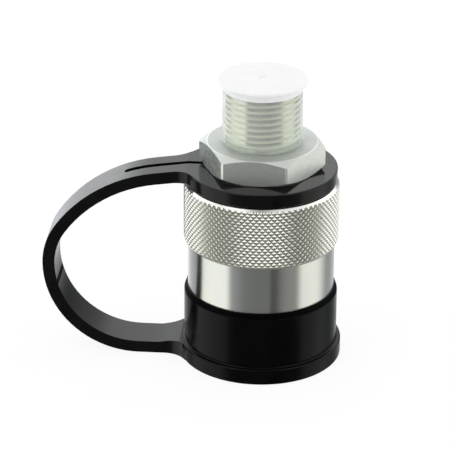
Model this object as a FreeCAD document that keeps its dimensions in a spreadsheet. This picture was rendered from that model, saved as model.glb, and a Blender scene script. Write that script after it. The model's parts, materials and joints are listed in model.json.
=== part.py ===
"""Female screw-on hydraulic quick coupler, standing on its rubber dust cap.

Millimetres.  +Z runs up the coupler's axis from the face that the dust cap
stands on (z = 0) to the threaded stud, and the strap of the cap points to -X.
"""
import FreeCAD, Part
import math
import os

import Sketcher

# Driving dimensions.  Heights are lengths of a piece or gaps between pieces.
SIZES = {
    # rear adapter: threaded stud with its tube socket, hexagon and shank
    "tube_radius": 6.0,
    "tube_depth": 7.0,
    "tube_shoulder": 1.0,
    "cone_mouth_depth": 1.0,
    "cone_half_angle": 12.0,
    "stud_wall": 3.0,
    "stud_length": 15.1,
    "stud_bevel": 0.9,
    "stud_undercut_depth": 0.9,
    "stud_undercut_length": 0.6,
    "hex_across": 27.0,
    "hex_height": 6.4,
    "hex_turn_angle": 55.5,
    "hex_bevel_inset": 0.15,
    "hex_bevel_angle": 30.0,
    "hex_gap": 0.1,
    "spring_chamber_radius": 7.3,
    "spring_chamber_depth": 10.0,
    "guide_seat_width": 0.9,
    "pilot_wall": 1.6,
    "pilot_groove_depth": 1.1,
    "pilot_groove_length": 1.8,
    "pilot_length": 4.0,
    "pilot_clearance": 0.05,
    "pilot_end_gap": 0.1,
    "shank_step": 1.0,
    "shank_undercut_depth": 1.1,
    "shank_undercut_length": 1.0,
    # socket body, with the bore that takes the plug's nose
    "body_wall": 2.15,
    "body_recess": 11.0,
    "body_edge_bevel": 0.8,
    "collar_height": 1.5,
    "collar_length": 4.0,
    "chamber_step": 0.85,
    "throat_radius": 6.0,
    "throat_length": 1.0,
    "nose_bore_radius": 9.05,
    "nose_bore_depth": 10.0,
    "nose_mouth_bevel": 1.15,
    "nose_mouth_depth": 2.0,
    "nose_groove_start": 3.0,
    "nose_groove_depth": 1.65,
    "nose_groove_room": 0.55,
    # coupling sleeve: plain front, knurled grip, coupling thread inside
    "sleeve_seat_gap": 0.3,
    "sleeve_length": 42.6,
    "sleeve_wall": 2.48,
    "sleeve_flange_length": 6.2,
    "sleeve_mouth_bevel": 0.8,
    "running_clearance": 0.08,
    "collar_clearance": 0.22,
    "thread_length": 17.0,
    "thread_entry_depth": 1.2,
    "thread_relief": 0.6,
    "grip_height": 1.0,
    "grip_length": 14.8,
    "grip_bevel": 1.05,
    "grip_end_bevel": 0.8,
    "thrust_ring_thickness": 0.7,
    "thrust_play": 0.1,
    # poppet valve with its spring and guide
    "poppet_lift": 5.5,
    "poppet_seat_gap": 0.3,
    "poppet_flow_gap": 1.3,
    "poppet_entry_gap": 1.0,
    "poppet_nose_radius": 3.0,
    "poppet_nose_length": 5.0,
    "poppet_lip": 0.4,
    "poppet_groove_depth": 1.0,
    "poppet_groove_length": 1.8,
    "poppet_land": 1.35,
    "poppet_boss_gap": 0.2,
    "poppet_boss_length": 1.5,
    "lift_clearance": 1.0,
    "stem_radius": 2.5,
    "stem_clearance": 0.05,
    "spring_wire_radius": 0.55,
    "spring_clearance": 0.3,
    "spring_turns": 4.5,
    "guide_hub_wall": 1.1,
    "guide_hub_length": 3.5,
    "guide_plate": 2.0,
    "guide_rim": 0.75,
    "guide_arm": 2.2,
    "guide_clearance": 0.05,
    # seals and circlip
    "backup_ring_thickness": 1.2,
    "seal_play": 0.02,
    "wiper_groove_depth": 1.1,
    "wiper_groove_length": 1.9,
    "wiper_groove_offset": 2.1,
    "wiper_play": 0.05,
    "circlip_groove_depth": 0.8,
    "circlip_width": 1.95,
    "circlip_thickness": 1.2,
    "circlip_play": 0.05,
    "circlip_offset": 0.2,
    "circlip_opening_angle": 24.0,
    "circlip_room": 4.3,
    "circlip_room_gap": 0.9,
    # dust cap: cup, base flange, strap and ring in one moulding
    "cap_floor": 3.2,
    "cap_wall": 0.78,
    "cap_clearance": 0.12,
    "cap_height": 18.45,
    "flange_overhang": 1.1,
    "flange_thickness": 4.0,
    "flange_rounding": 1.1,
    "lip_inset": 0.55,
    "lip_height": 1.45,
    "ring_width": 4.9,
    "ring_thickness": 3.4,
    "ring_clearance": 0.3,
    "ring_gap": 0.3,
    "strap_width": 10.1,
    "strap_thickness": 3.0,
    "strap_reach": 52.1,
    "strap_crown_radius": 16.2,
    "strap_crown_angle": 35.0,
    "strap_top_radius": 34.3,
    "strap_rise_angle": 8.0,
    "strap_root_lift": 0.29,
    "strap_flare": 6.0,
    "slit_root_width": 1.4,
    "slit_tip_width": 1.9,
    "slit_reach": 33.6,
    # moulded thread protector on the stud
    "protector_clearance": 0.12,
    "protector_wall": 0.43,
    "protector_taper": 0.2,
    "protector_overhang": 1.3,
    "protector_disc": 0.8,
    "protector_end_gap": 0.2,
    "protector_foot_gap": 0.15,
}

SHEET_NAME = "Sizes"
PARTS_FOLDER = "parts"
FULL_TURN = 360.0
GUIDE_ARMS = 3
HEX_HALF_ANGLE = 30.0


class Size:
    """A number together with the formula that ties it to the sheet."""

    def __init__(self, value, formula):
        self.value = value
        self.formula = formula

    def __add__(self, other):
        other = as_size(other)
        return Size(self.value + other.value, f"({self.formula} + {other.formula})")

    def __sub__(self, other):
        other = as_size(other)
        return Size(self.value - other.value, f"({self.formula} - {other.formula})")

    def __mul__(self, other):
        other = as_size(other)
        return Size(self.value * other.value, f"({self.formula} * {other.formula})")

    def __truediv__(self, other):
        other = as_size(other)
        return Size(self.value / other.value, f"({self.formula} / {other.formula})")

    def root(self):
        return Size(math.sqrt(self.value), f"sqrt({self.formula})")

    def sine(self):
        return Size(math.sin(math.radians(self.value)), f"sin({self.formula})")

    def cosine(self):
        return Size(math.cos(math.radians(self.value)), f"cos({self.formula})")

    def tangent(self):
        return Size(math.tan(math.radians(self.value)), f"tan({self.formula})")


def as_size(number):
    """Take a plain number as a size with a constant formula."""
    if isinstance(number, Size):
        return number
    return Size(float(number), repr(float(number)))


def named(alias):
    """The size that the sheet keeps under an alias."""
    return Size(SIZES[alias], f"{SHEET_NAME}.{alias}")


ZERO = as_size(0.0)

# Radii of the turned pieces, from the tube's bore outwards.
bore_radius = named("tube_radius") - named("tube_shoulder")
cone_mouth_radius = named("tube_radius") + named("cone_mouth_depth")
stud_radius = named("tube_radius") + named("stud_wall")
pilot_groove_radius = named("spring_chamber_radius") + named("pilot_wall")
pilot_radius = pilot_groove_radius + named("pilot_groove_depth")
shank_radius = pilot_radius + named("shank_step")
pilot_bore_radius = pilot_radius + named("pilot_clearance")
thread_bore_radius = shank_radius + named("pilot_clearance")
chamber_radius = pilot_bore_radius - named("chamber_step")
nose_groove_radius = named("nose_bore_radius") + named("nose_groove_depth")

body_radius = thread_bore_radius + named("body_wall")
collar_radius = body_radius + named("collar_height")
wiper_groove_radius = body_radius - named("wiper_groove_depth")
circlip_groove_radius = body_radius - named("circlip_groove_depth")
circlip_bore = circlip_groove_radius + named("circlip_play")
circlip_radius = circlip_bore + named("circlip_width")
circlip_room_radius = circlip_radius + named("circlip_room_gap")

sleeve_bore = body_radius + named("running_clearance")
sleeve_thread_radius = collar_radius + named("collar_clearance")
thread_relief_radius = sleeve_thread_radius + named("thread_relief")
sleeve_radius = thread_relief_radius + named("sleeve_wall")
grip_radius = sleeve_radius + named("grip_height")

cap_bore = sleeve_radius + named("cap_clearance")
cup_radius = cap_bore + named("cap_wall")
flange_radius = cup_radius + named("flange_overhang")
ring_bore = body_radius + named("ring_clearance")
ring_radius = ring_bore + named("ring_width")

poppet_groove_radius = named("throat_radius") + named("poppet_lip") - named("poppet_groove_depth")
poppet_lip_radius = named("throat_radius") + named("poppet_lip")
poppet_cone_radius = named("throat_radius") - named("poppet_entry_gap")
poppet_head_radius = chamber_radius - named("poppet_flow_gap")
guide_hub_radius = named("stem_radius") + named("guide_hub_wall")
spring_bore = guide_hub_radius + named("spring_clearance")

# Heights along the axis, from the base upwards.
cap_rim = named("cap_height")
sleeve_front = named("cap_floor") + named("sleeve_seat_gap")
sleeve_rear = sleeve_front + named("sleeve_length")
ring_bottom = sleeve_rear + named("ring_gap")
ring_top = ring_bottom + named("ring_thickness")
hex_bottom = ring_top + named("hex_gap")
hex_top = hex_bottom + named("hex_height")
stud_end = hex_top + named("stud_length")
disc_underside = stud_end + named("protector_end_gap")

circlip_floor = sleeve_rear - named("circlip_room")
thrust_face = circlip_floor - named("sleeve_flange_length")
thrust_ring_bottom = thrust_face - named("thrust_play") - named("thrust_ring_thickness")
collar_rear = thrust_ring_bottom
collar_front = collar_rear - named("collar_length")
thread_end = sleeve_front + named("thread_length")

body_front = sleeve_front + named("body_recess")
nose_bore_end = body_front + named("nose_bore_depth")
throat_front = nose_bore_end + (named("nose_bore_radius") - named("throat_radius"))
throat_rear = throat_front + named("throat_length")
chamber_front = throat_rear + (chamber_radius - named("throat_radius"))

poppet_lip_height = throat_rear + named("poppet_seat_gap") + named("poppet_lip")
poppet_groove_end = poppet_lip_height + named("poppet_groove_length")
head_rear = poppet_groove_end + named("poppet_land")
pilot_front = head_rear + named("poppet_lift") + named("lift_clearance")
shank_thread_front = pilot_front + named("pilot_length")
guide_seat = pilot_front + named("spring_chamber_depth")
guide_front = guide_seat - named("guide_plate")

# The strap's outer face, with the strap pointing to +X until the cap is turned.
strap_start = (ring_bore + ring_radius) / 2
strap_outer_reach = named("strap_reach") + named("strap_thickness") / 2
crown_radius = named("strap_crown_radius") + named("strap_thickness") / 2
crown_across = strap_outer_reach - crown_radius
top_radius = named("strap_top_radius") + named("strap_thickness") / 2
top_across = crown_across - (top_radius - crown_radius) * named("strap_crown_angle").cosine()
top_drop = (top_radius - crown_radius) * named("strap_crown_angle").sine()
straight_across = top_across + top_radius * named("strap_rise_angle").sine()
straight_lift = top_radius * named("strap_rise_angle").cosine() - top_drop
strap_climb = straight_lift + (
    straight_across - strap_start) * named("strap_rise_angle").tangent()
strap_middle = ring_top + named("strap_root_lift") - strap_climb


def new_document():
    """Make the document and its sheet of driving dimensions."""
    document = FreeCAD.newDocument("QuickCoupler")
    sheet = document.addObject("Spreadsheet::Sheet", SHEET_NAME)
    for row, (alias, value) in enumerate(SIZES.items(), start=1):
        sheet.set(f"A{row}", alias)
        sheet.set(f"B{row}", str(value))
        sheet.setAlias(f"B{row}", alias)
    document.recompute()
    return document


def bind(item, target, size):
    """Tie a property or a constraint to a size."""
    item.setExpression(target, size.formula)


def new_body(document, label):
    """An empty body that carries a sub-part's name."""
    body = document.addObject("PartDesign::Body", label)
    body.Label = label
    return body


def sketch_on(body, role, name, offset=ZERO):
    """A sketch on one of a body's own origin planes, moved along its normal."""
    sketch = body.newObject("Sketcher::SketchObject", name)
    plane = next(item for item in body.Origin.OriginFeatures if item.Role == role)
    sketch.AttachmentSupport = (plane, [""])
    sketch.MapMode = "FlatFace"
    if offset is not ZERO:
        sketch.AttachmentOffset.Base.z = offset.value
        bind(sketch, "AttachmentOffset.Base.z", offset)
    return sketch


class Corner:
    """A straight run to a point of an outline."""

    def __init__(self, across, along):
        self.across = as_size(across)
        self.along = as_size(along)


class Bend(Corner):
    """A round run to a point of an outline, about a centre."""

    def __init__(self, across, along, centre, radius, counterclockwise=True):
        super().__init__(across, along)
        self.centre = (as_size(centre[0]), as_size(centre[1]))
        self.radius = as_size(radius)
        self.counterclockwise = counterclockwise


def draw_outline(sketch, corners):
    """Add one closed outline whose corners are bound to their sizes."""
    first = sketch.GeometryCount
    ends = []
    for index, corner in enumerate(corners):
        start = corners[index - 1]
        start_point = FreeCAD.Vector(start.across.value, start.along.value, 0)
        end_point = FreeCAD.Vector(corner.across.value, corner.along.value, 0)
        if isinstance(corner, Bend):
            middle = FreeCAD.Vector(corner.centre[0].value, corner.centre[1].value, 0)
            circle = Part.Circle(middle, FreeCAD.Vector(0, 0, 1), corner.radius.value)
            if corner.counterclockwise:
                low, high = circle.parameter(start_point), circle.parameter(end_point)
                ends.append((1, 2))
            else:
                low, high = circle.parameter(end_point), circle.parameter(start_point)
                ends.append((2, 1))
            if high <= low:
                high += 2 * math.pi
            sketch.addGeometry(Part.ArcOfCircle(circle, low, high), False)
        else:
            sketch.addGeometry(Part.LineSegment(start_point, end_point), False)
            ends.append((1, 2))
    for index, corner in enumerate(corners):
        following = (index + 1) % len(corners)
        here = first + index
        end = ends[index][1]
        joint = Sketcher.Constraint(
            "Coincident", here, end, first + following, ends[following][0])
        sketch.addConstraint(joint)
        place_point(sketch, here, end, corner)
        if isinstance(corner, Bend):
            number = sketch.addConstraint(
                Sketcher.Constraint("Radius", here, corner.radius.value))
            bind(sketch, f"Constraints[{number}]", corner.radius)


def place_point(sketch, geometry, end, corner):
    """Hold a point of a sketch at its sizes from the sketch's axes."""
    axes = (("DistanceX", corner.across, -2), ("DistanceY", corner.along, -1))
    for kind, size, axis in axes:
        if size is ZERO:
            sketch.addConstraint(Sketcher.Constraint("PointOnObject", geometry, end, axis))
        else:
            number = sketch.addConstraint(
                Sketcher.Constraint(kind, -1, 1, geometry, end, size.value))
            bind(sketch, f"Constraints[{number}]", size)


def outline_of(points):
    """Straight corners from pairs of radius and height."""
    return [Corner(across, along) for across, along in points]


def revolve(body, name, corners, turn=FULL_TURN):
    """Turn an outline of radius and height about the axis."""
    sketch = sketch_on(body, "XZ_Plane", f"{name}_outline")
    draw_outline(sketch, corners)
    solid = body.newObject("PartDesign::Revolution", name)
    solid.Profile = sketch
    solid.ReferenceAxis = (sketch, ["V_Axis"])
    solid.Angle = turn
    return solid


def groove(body, name, corners):
    """Turn an outline away from a body, and make sure that it cuts."""
    before = body_volume(body)
    sketch = sketch_on(body, "XZ_Plane", f"{name}_outline")
    draw_outline(sketch, corners)
    cut = body.newObject("PartDesign::Groove", name)
    cut.Profile = sketch
    cut.ReferenceAxis = (sketch, ["V_Axis"])
    cut.Angle = FULL_TURN
    must_shrink(body, name, before)
    return cut


def pad(body, name, sketch, length, both_ways=False):
    """Extrude a sketch, to one side or evenly to both."""
    solid = body.newObject("PartDesign::Pad", name)
    solid.Profile = sketch
    bind(solid, "Length", length)
    solid.Midplane = both_ways
    return solid


def pocket(body, name, sketch, length, upwards):
    """Cut a sketch's outline out of a body, and make sure that it cuts."""
    before = body_volume(body)
    cut = body.newObject("PartDesign::Pocket", name)
    cut.Profile = sketch
    bind(cut, "Length", length)
    cut.Reversed = upwards
    must_shrink(body, name, before)
    return cut


def body_volume(body):
    """A body's volume as built so far."""
    body.Document.recompute()
    return body.Shape.Volume


def must_shrink(body, name, before):
    """Stop if a cut took nothing away."""
    if body_volume(body) >= before:
        raise RuntimeError(f"{name} cuts nothing from {body.Label}")


def ring_of(document, label, inner, outer, bottom, thickness):
    """A flat turned ring with square edges."""
    body = new_body(document, label)
    top = bottom + thickness
    revolve(body, f"{label}_turning", outline_of(
        [(inner, bottom), (outer, bottom), (outer, top), (inner, top)]))
    return body


def o_ring(document, label, groove_floor, wall, height, play):
    """A seal that fills the radial space between a groove's floor and a wall."""
    seal = document.addObject("Part::Torus", label)
    seal.Label = label
    bind(seal, "Radius1", (groove_floor + wall) / 2)
    bind(seal, "Radius2", seal_section_radius(groove_floor, wall, play))
    bind(seal, "Placement.Base.z", height)
    return seal


def seal_section_radius(groove_floor, wall, play):
    """Half the thickness of the seal between two radii, less its play."""
    low, high = groove_floor, wall
    if wall.value < groove_floor.value:
        low, high = wall, groove_floor
    return (high - low) / 2 - play


def add_dust_cap(document):
    """Cup over the sleeve, base flange, strap and ring, as one moulding."""
    body = new_body(document, "dust_cap")
    add_strap(body)
    rounding = named("flange_rounding")
    top = named("flange_thickness")
    revolve(body, "cup_and_flange", [
        Corner(ZERO, ZERO),
        Corner(flange_radius - rounding, ZERO),
        Bend(flange_radius, rounding, (flange_radius - rounding, rounding), rounding),
        Corner(flange_radius, top - rounding / 2),
        Bend(flange_radius - rounding / 2, top,
             (flange_radius - rounding / 2, top - rounding / 2), rounding / 2),
        Corner(cup_radius, top),
        Corner(cup_radius, cap_rim - named("lip_height")),
        Corner(cup_radius - named("lip_inset"), cap_rim),
        Corner(ZERO, cap_rim),
    ])
    revolve(body, "neck_ring", outline_of([
        (ring_bore, ring_bottom),
        (ring_radius, ring_bottom),
        (ring_radius, ring_top),
        (ring_bore, ring_top),
    ]))
    groove(body, "cup_cavity", outline_of([
        (ZERO, named("cap_floor")),
        (cap_bore, named("cap_floor")),
        (cap_bore, ring_bottom),
        (ZERO, ring_bottom),
    ]))
    trim_top = ring_top + named("strap_thickness")
    trim_radius = ring_radius + named("strap_flare")
    groove(body, "ring_top_trim", outline_of([
        (ZERO, ring_top), (trim_radius, ring_top), (trim_radius, trim_top), (ZERO, trim_top)]))
    add_slit(body)
    body.Placement = FreeCAD.Placement(
        FreeCAD.Vector(0, 0, 0), FreeCAD.Rotation(FreeCAD.Vector(0, 0, 1), 180))
    return body


def add_strap(body):
    """The strap's side outline, widened into the ring and the flange."""
    half = named("strap_width") / 2
    flare = named("strap_flare")
    sketch = sketch_on(body, "XZ_Plane", "strap_side_outline")
    draw_outline(sketch, strap_side())
    pad(body, "strap", sketch, (half + flare) * 2, both_ways=True)
    outer = strap_outer_reach + named("strap_thickness")
    for name, round_edge, upwards in (
            ("ring_flare", ring_radius, True),
            ("flange_flare", flange_radius, False)):
        plan = sketch_on(body, "XY_Plane", f"{name}_outline", strap_middle)
        centre_y = half + flare
        reach = round_edge + flare
        centre_x = (reach * reach - centre_y * centre_y).root()
        meet_x = centre_x * round_edge / reach
        meet_y = centre_y * round_edge / reach
        edge = centre_y + named("strap_thickness")
        for side in (as_size(1.0), as_size(-1.0)):
            draw_outline(plan, [
                Corner(outer, side * half),
                Corner(centre_x, side * half),
                Bend(meet_x, side * meet_y, (centre_x, side * centre_y), flare,
                     counterclockwise=side.value < 0),
                Corner(ZERO, side * meet_y),
                Corner(ZERO, side * edge),
                Corner(outer, side * edge),
            ])
        pocket(body, f"{name}_trim", plan, ring_top + named("strap_thickness"), upwards)


def strap_side():
    """The strap seen from its side: along the base, round and up to the ring."""
    thick = named("strap_thickness")
    turn = named("strap_crown_angle")
    rise = named("strap_rise_angle")
    low_radius = strap_middle
    low_across = strap_outer_reach - low_radius
    crown_inner = crown_radius - thick
    top_inner = top_radius - thick
    top_height = strap_middle - top_drop
    inner_end_across = top_across + top_inner * rise.sine()
    inner_end_height = top_height + top_inner * rise.cosine()
    inner_root_height = inner_end_height + (inner_end_across - strap_start) * rise.tangent()
    top_centre = (top_across, top_height)
    crown_centre = (crown_across, strap_middle)
    low_centre = (low_across, strap_middle)
    return [
        Corner(strap_start, ZERO),
        Corner(low_across, ZERO),
        Bend(strap_outer_reach, strap_middle, low_centre, low_radius),
        Bend(crown_across + crown_radius * turn.cosine(),
             strap_middle + crown_radius * turn.sine(), crown_centre, crown_radius),
        Bend(straight_across, strap_middle + straight_lift, top_centre, top_radius),
        Corner(strap_start, ring_top + named("strap_root_lift")),
        Corner(strap_start, inner_root_height),
        Corner(inner_end_across, inner_end_height),
        Bend(crown_across + crown_inner * turn.cosine(),
             strap_middle + crown_inner * turn.sine(),
             top_centre, top_inner, counterclockwise=False),
        Bend(strap_outer_reach - thick, strap_middle,
             crown_centre, crown_inner, counterclockwise=False),
        Bend(low_across, thick, low_centre, low_radius - thick, counterclockwise=False),
        Corner(strap_start, thick),
    ]


def add_slit(body):
    """The round-ended slit that lets the ring open over the hexagon."""
    root = named("slit_root_width") / 2
    end = named("slit_tip_width") / 2
    inside = body_radius
    end_centre = named("slit_reach") - end
    plan = sketch_on(body, "XY_Plane", "slit_outline", strap_middle)
    draw_outline(plan, [
        Corner(inside, ZERO - root),
        Corner(end_centre, ZERO - end),
        Bend(named("slit_reach"), ZERO, (end_centre, ZERO), end),
        Bend(end_centre, end, (end_centre, ZERO), end),
        Corner(inside, root),
    ])
    pocket(body, "slit", plan, ring_top, upwards=True)


def add_coupling_sleeve(document):
    """The turning sleeve: smooth front, knurled grip, coupling thread inside."""
    body = new_body(document, "coupling_sleeve")
    mouth_bevel = named("sleeve_mouth_bevel")
    end_bevel = named("grip_end_bevel")
    entry = named("thread_entry_depth")
    grip_front = sleeve_rear - named("grip_length")
    revolve(body, "sleeve_turning", outline_of([
        (sleeve_thread_radius + entry, sleeve_front),
        (sleeve_radius - mouth_bevel, sleeve_front),
        (sleeve_radius, sleeve_front + mouth_bevel),
        (sleeve_radius, grip_front - named("grip_bevel")),
        (grip_radius, grip_front),
        (grip_radius, sleeve_rear - end_bevel),
        (grip_radius - end_bevel, sleeve_rear),
        (circlip_room_radius, sleeve_rear),
        (circlip_room_radius, circlip_floor),
        (sleeve_bore, circlip_floor),
        (sleeve_bore, thrust_face),
        (thread_relief_radius, thrust_face),
        (thread_relief_radius, thread_end + named("thread_relief")),
        (sleeve_thread_radius, thread_end),
        (sleeve_thread_radius, sleeve_front + entry),
    ]))
    return body


def add_socket_body(document):
    """The body that holds the valve, with the bore for the plug's nose."""
    body = new_body(document, "socket_body")
    edge = named("body_edge_bevel")
    nose = named("nose_bore_radius")
    throat = named("throat_radius")
    seal_start = body_front + named("nose_groove_start")
    seal_end = seal_start + nose_groove_length()
    wiper_start = thrust_face + named("wiper_groove_offset")
    wiper_end = wiper_start + named("wiper_groove_length")
    clip_start = circlip_floor + named("circlip_offset")
    clip_end = clip_start + named("circlip_thickness") + named("circlip_play") * 2
    pilot_end = pilot_front - named("pilot_end_gap")
    revolve(body, "body_turning", outline_of([
        (nose + named("nose_mouth_bevel"), body_front),
        (body_radius - edge, body_front),
        (body_radius, body_front + edge),
        (body_radius, collar_front),
        (collar_radius, collar_front),
        (collar_radius, collar_rear),
        (body_radius, collar_rear),
        (body_radius, wiper_start),
        (wiper_groove_radius, wiper_start),
        (wiper_groove_radius, wiper_end),
        (body_radius, wiper_end),
        (body_radius, clip_start),
        (circlip_groove_radius, clip_start),
        (circlip_groove_radius, clip_end),
        (body_radius, clip_end),
        (body_radius, hex_bottom),
        (thread_bore_radius, hex_bottom),
        (thread_bore_radius, shank_thread_front),
        (pilot_bore_radius, shank_thread_front),
        (pilot_bore_radius, pilot_end),
        (chamber_radius, pilot_end),
        (chamber_radius, chamber_front),
        (throat, throat_rear),
        (throat, throat_front),
        (nose, nose_bore_end),
        (nose, seal_end),
        (nose_groove_radius, seal_end),
        (nose_groove_radius, seal_start),
        (nose, seal_start),
        (nose, body_front + named("nose_mouth_depth")),
    ]))
    return body


def add_body_seals(document):
    """Seals, backup ring, thrust ring and circlip that the body carries."""
    play = named("seal_play")
    nose = named("nose_bore_radius")
    seal_start = body_front + named("nose_groove_start")
    backup_top = seal_start + play + named("backup_ring_thickness")
    seal_half = seal_section_radius(nose_groove_radius, nose, play)
    backup = ring_of(document, "nose_backup_ring", nose + play, nose_groove_radius - play,
                     seal_start + play, named("backup_ring_thickness"))
    nose_seal = o_ring(document, "nose_seal", nose_groove_radius, nose,
                       backup_top + play + seal_half, play)
    wiper_middle = thrust_face + named("wiper_groove_offset") + named("wiper_groove_length") / 2
    wiper = o_ring(document, "sleeve_wiper", wiper_groove_radius, sleeve_bore,
                   wiper_middle, named("wiper_play"))
    thrust = ring_of(document, "thrust_ring", sleeve_bore, collar_radius,
                     thrust_ring_bottom, named("thrust_ring_thickness"))
    return [backup, nose_seal, wiper, thrust, add_circlip(document)]


def nose_groove_length():
    """Room along the axis for the nose seal beside its backup ring."""
    return named("nose_groove_depth") + named("backup_ring_thickness") + named("nose_groove_room")


def add_circlip(document):
    """The open ring in the body's groove that keeps the sleeve on."""
    body = new_body(document, "sleeve_circlip")
    bottom = circlip_floor + named("circlip_offset") + named("circlip_play")
    top = bottom + named("circlip_thickness")
    ring = revolve(body, "circlip_turning", outline_of([
        (circlip_bore, bottom),
        (circlip_radius, bottom),
        (circlip_radius, top),
        (circlip_bore, top),
    ]))
    bind(ring, "Angle", as_size(FULL_TURN) - named("circlip_opening_angle"))
    return body


def add_poppet(document):
    """The valve poppet: nose, cone with its seal groove, boss and stem."""
    body = new_body(document, "poppet")
    cone_start = poppet_lip_height - (poppet_lip_radius - poppet_cone_radius)
    nose = named("poppet_nose_radius")
    nose_start = cone_start - named("poppet_nose_length")
    boss = spring_bore - named("poppet_boss_gap")
    boss_rear = head_rear + named("poppet_boss_length")
    stem = named("stem_radius")
    revolve(body, "poppet_turning", outline_of([
        (ZERO, nose_start),
        (nose, nose_start),
        (nose, cone_start),
        (poppet_cone_radius, cone_start),
        (poppet_lip_radius, poppet_lip_height),
        (poppet_groove_radius, poppet_lip_height),
        (poppet_groove_radius, poppet_groove_end),
        (poppet_head_radius, poppet_groove_end),
        (poppet_head_radius, head_rear),
        (boss, head_rear),
        (boss, boss_rear),
        (stem, boss_rear),
        (stem, guide_seat),
        (ZERO, guide_seat),
    ]))
    return body


def add_poppet_seal(document):
    """The seal in the poppet's groove that closes on the seat cone."""
    half = named("poppet_groove_length") / 2 - named("seal_play")
    seal = document.addObject("Part::Torus", "poppet_seal")
    seal.Label = "poppet_seal"
    bind(seal, "Radius1", poppet_groove_radius + named("poppet_groove_length") / 2)
    bind(seal, "Radius2", half)
    bind(seal, "Placement.Base.z", poppet_lip_height + named("poppet_groove_length") / 2)
    return seal


def add_valve_spring(document):
    """The coil spring between the poppet's head and the guide."""
    wire = named("spring_wire_radius")
    coil = spring_bore + wire
    free_run = guide_front - head_rear - wire * 2 - named("seal_play") * 2
    start = head_rear + wire + named("seal_play")
    helix = document.addObject("Part::Helix", "spring_line")
    bind(helix, "Radius", coil)
    bind(helix, "Height", free_run)
    bind(helix, "Pitch", free_run / named("spring_turns"))
    section = document.addObject("Part::Circle", "spring_section")
    bind(section, "Radius", wire)
    section.Placement = FreeCAD.Placement(
        FreeCAD.Vector(coil.value, 0, 0), FreeCAD.Rotation(FreeCAD.Vector(1, 0, 0), 90))
    bind(section, "Placement.Base.x", coil)
    document.recompute()
    spring = document.addObject("Part::Sweep", "valve_spring")
    spring.Label = "valve_spring"
    spring.Sections = [section]
    spring.Spine = (helix, [f"Edge{index + 1}" for index in range(len(helix.Shape.Edges))])
    spring.Solid = True
    spring.Frenet = True
    bind(spring, "Placement.Base.z", start)
    return spring


def add_valve_guide(document):
    """The star-shaped guide that centres the stem and takes the spring."""
    body = new_body(document, "valve_guide")
    stem_bore = named("stem_radius") + named("stem_clearance")
    rim = named("spring_chamber_radius") - named("guide_clearance")
    hub_front = guide_front - named("guide_hub_length")
    revolve(body, "guide_turning", outline_of([
        (stem_bore, hub_front),
        (guide_hub_radius, hub_front),
        (guide_hub_radius, guide_front),
        (rim, guide_front),
        (rim, guide_seat),
        (stem_bore, guide_seat),
    ]))
    inner = guide_hub_radius
    outer = rim - named("guide_rim")
    half_arm = named("guide_arm") / 2
    inner_x = (inner * inner - half_arm * half_arm).root()
    outer_x = (outer * outer - half_arm * half_arm).root()
    third = as_size(FULL_TURN / GUIDE_ARMS)
    window = sketch_on(body, "XY_Plane", "window_outline", guide_seat)
    far_inner = turned_point(inner_x, half_arm, third)
    far_outer = turned_point(outer_x, half_arm, third)
    draw_outline(window, [
        Corner(outer_x, half_arm),
        Bend(far_outer[0], far_outer[1], (ZERO, ZERO), outer),
        Corner(far_inner[0], far_inner[1]),
        Bend(inner_x, half_arm, (ZERO, ZERO), inner, counterclockwise=False),
    ])
    cut = pocket(body, "window", window, named("guide_plate"), upwards=False)
    axis = next(item for item in body.Origin.OriginFeatures if item.Role == "Z_Axis")
    star = body.newObject("PartDesign::PolarPattern", "windows")
    star.Originals = [cut]
    star.Axis = (axis, [""])
    star.Angle = FULL_TURN
    star.Occurrences = GUIDE_ARMS
    body.Tip = star
    return body


def turned_point(across, half_arm, angle):
    """The point on the far arm's near side, at the same radius."""
    sine = angle.sine()
    cosine = angle.cosine()
    return (across * cosine + half_arm * sine, across * sine - half_arm * cosine)


def add_rear_adapter(document):
    """Hexagon with the threaded stud above it and the shank below."""
    body = new_body(document, "rear_adapter")
    across = named("hex_across")
    corner = across / 2 / as_size(HEX_HALF_ANGLE).cosine()
    plan = sketch_on(body, "XY_Plane", "hex_outline", hex_bottom)
    draw_outline(plan, outline_of([
        (corner, ZERO),
        (corner / 2, across / 2),
        (ZERO - corner / 2, across / 2),
        (ZERO - corner, ZERO),
        (ZERO - corner / 2, ZERO - across / 2),
        (corner / 2, ZERO - across / 2),
    ]))
    plan.AttachmentOffset.Rotation = FreeCAD.Rotation(FreeCAD.Vector(0, 0, 1), 1.0)
    bind(plan, "AttachmentOffset.Rotation.Angle", named("hex_turn_angle"))
    pad(body, "hexagon", plan, named("hex_height"))
    flat_circle = across / 2 - named("hex_bevel_inset")
    clear = corner + named("hex_bevel_inset")
    drop = (clear - flat_circle) * named("hex_bevel_angle").tangent()
    groove(body, "upper_bevel", outline_of(
        [(flat_circle, hex_top), (clear, hex_top - drop), (clear, hex_top)]))
    groove(body, "lower_bevel", outline_of(
        [(flat_circle, hex_bottom), (clear, hex_bottom), (clear, hex_bottom + drop)]))
    add_stud_and_shank(body)
    return body


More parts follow.
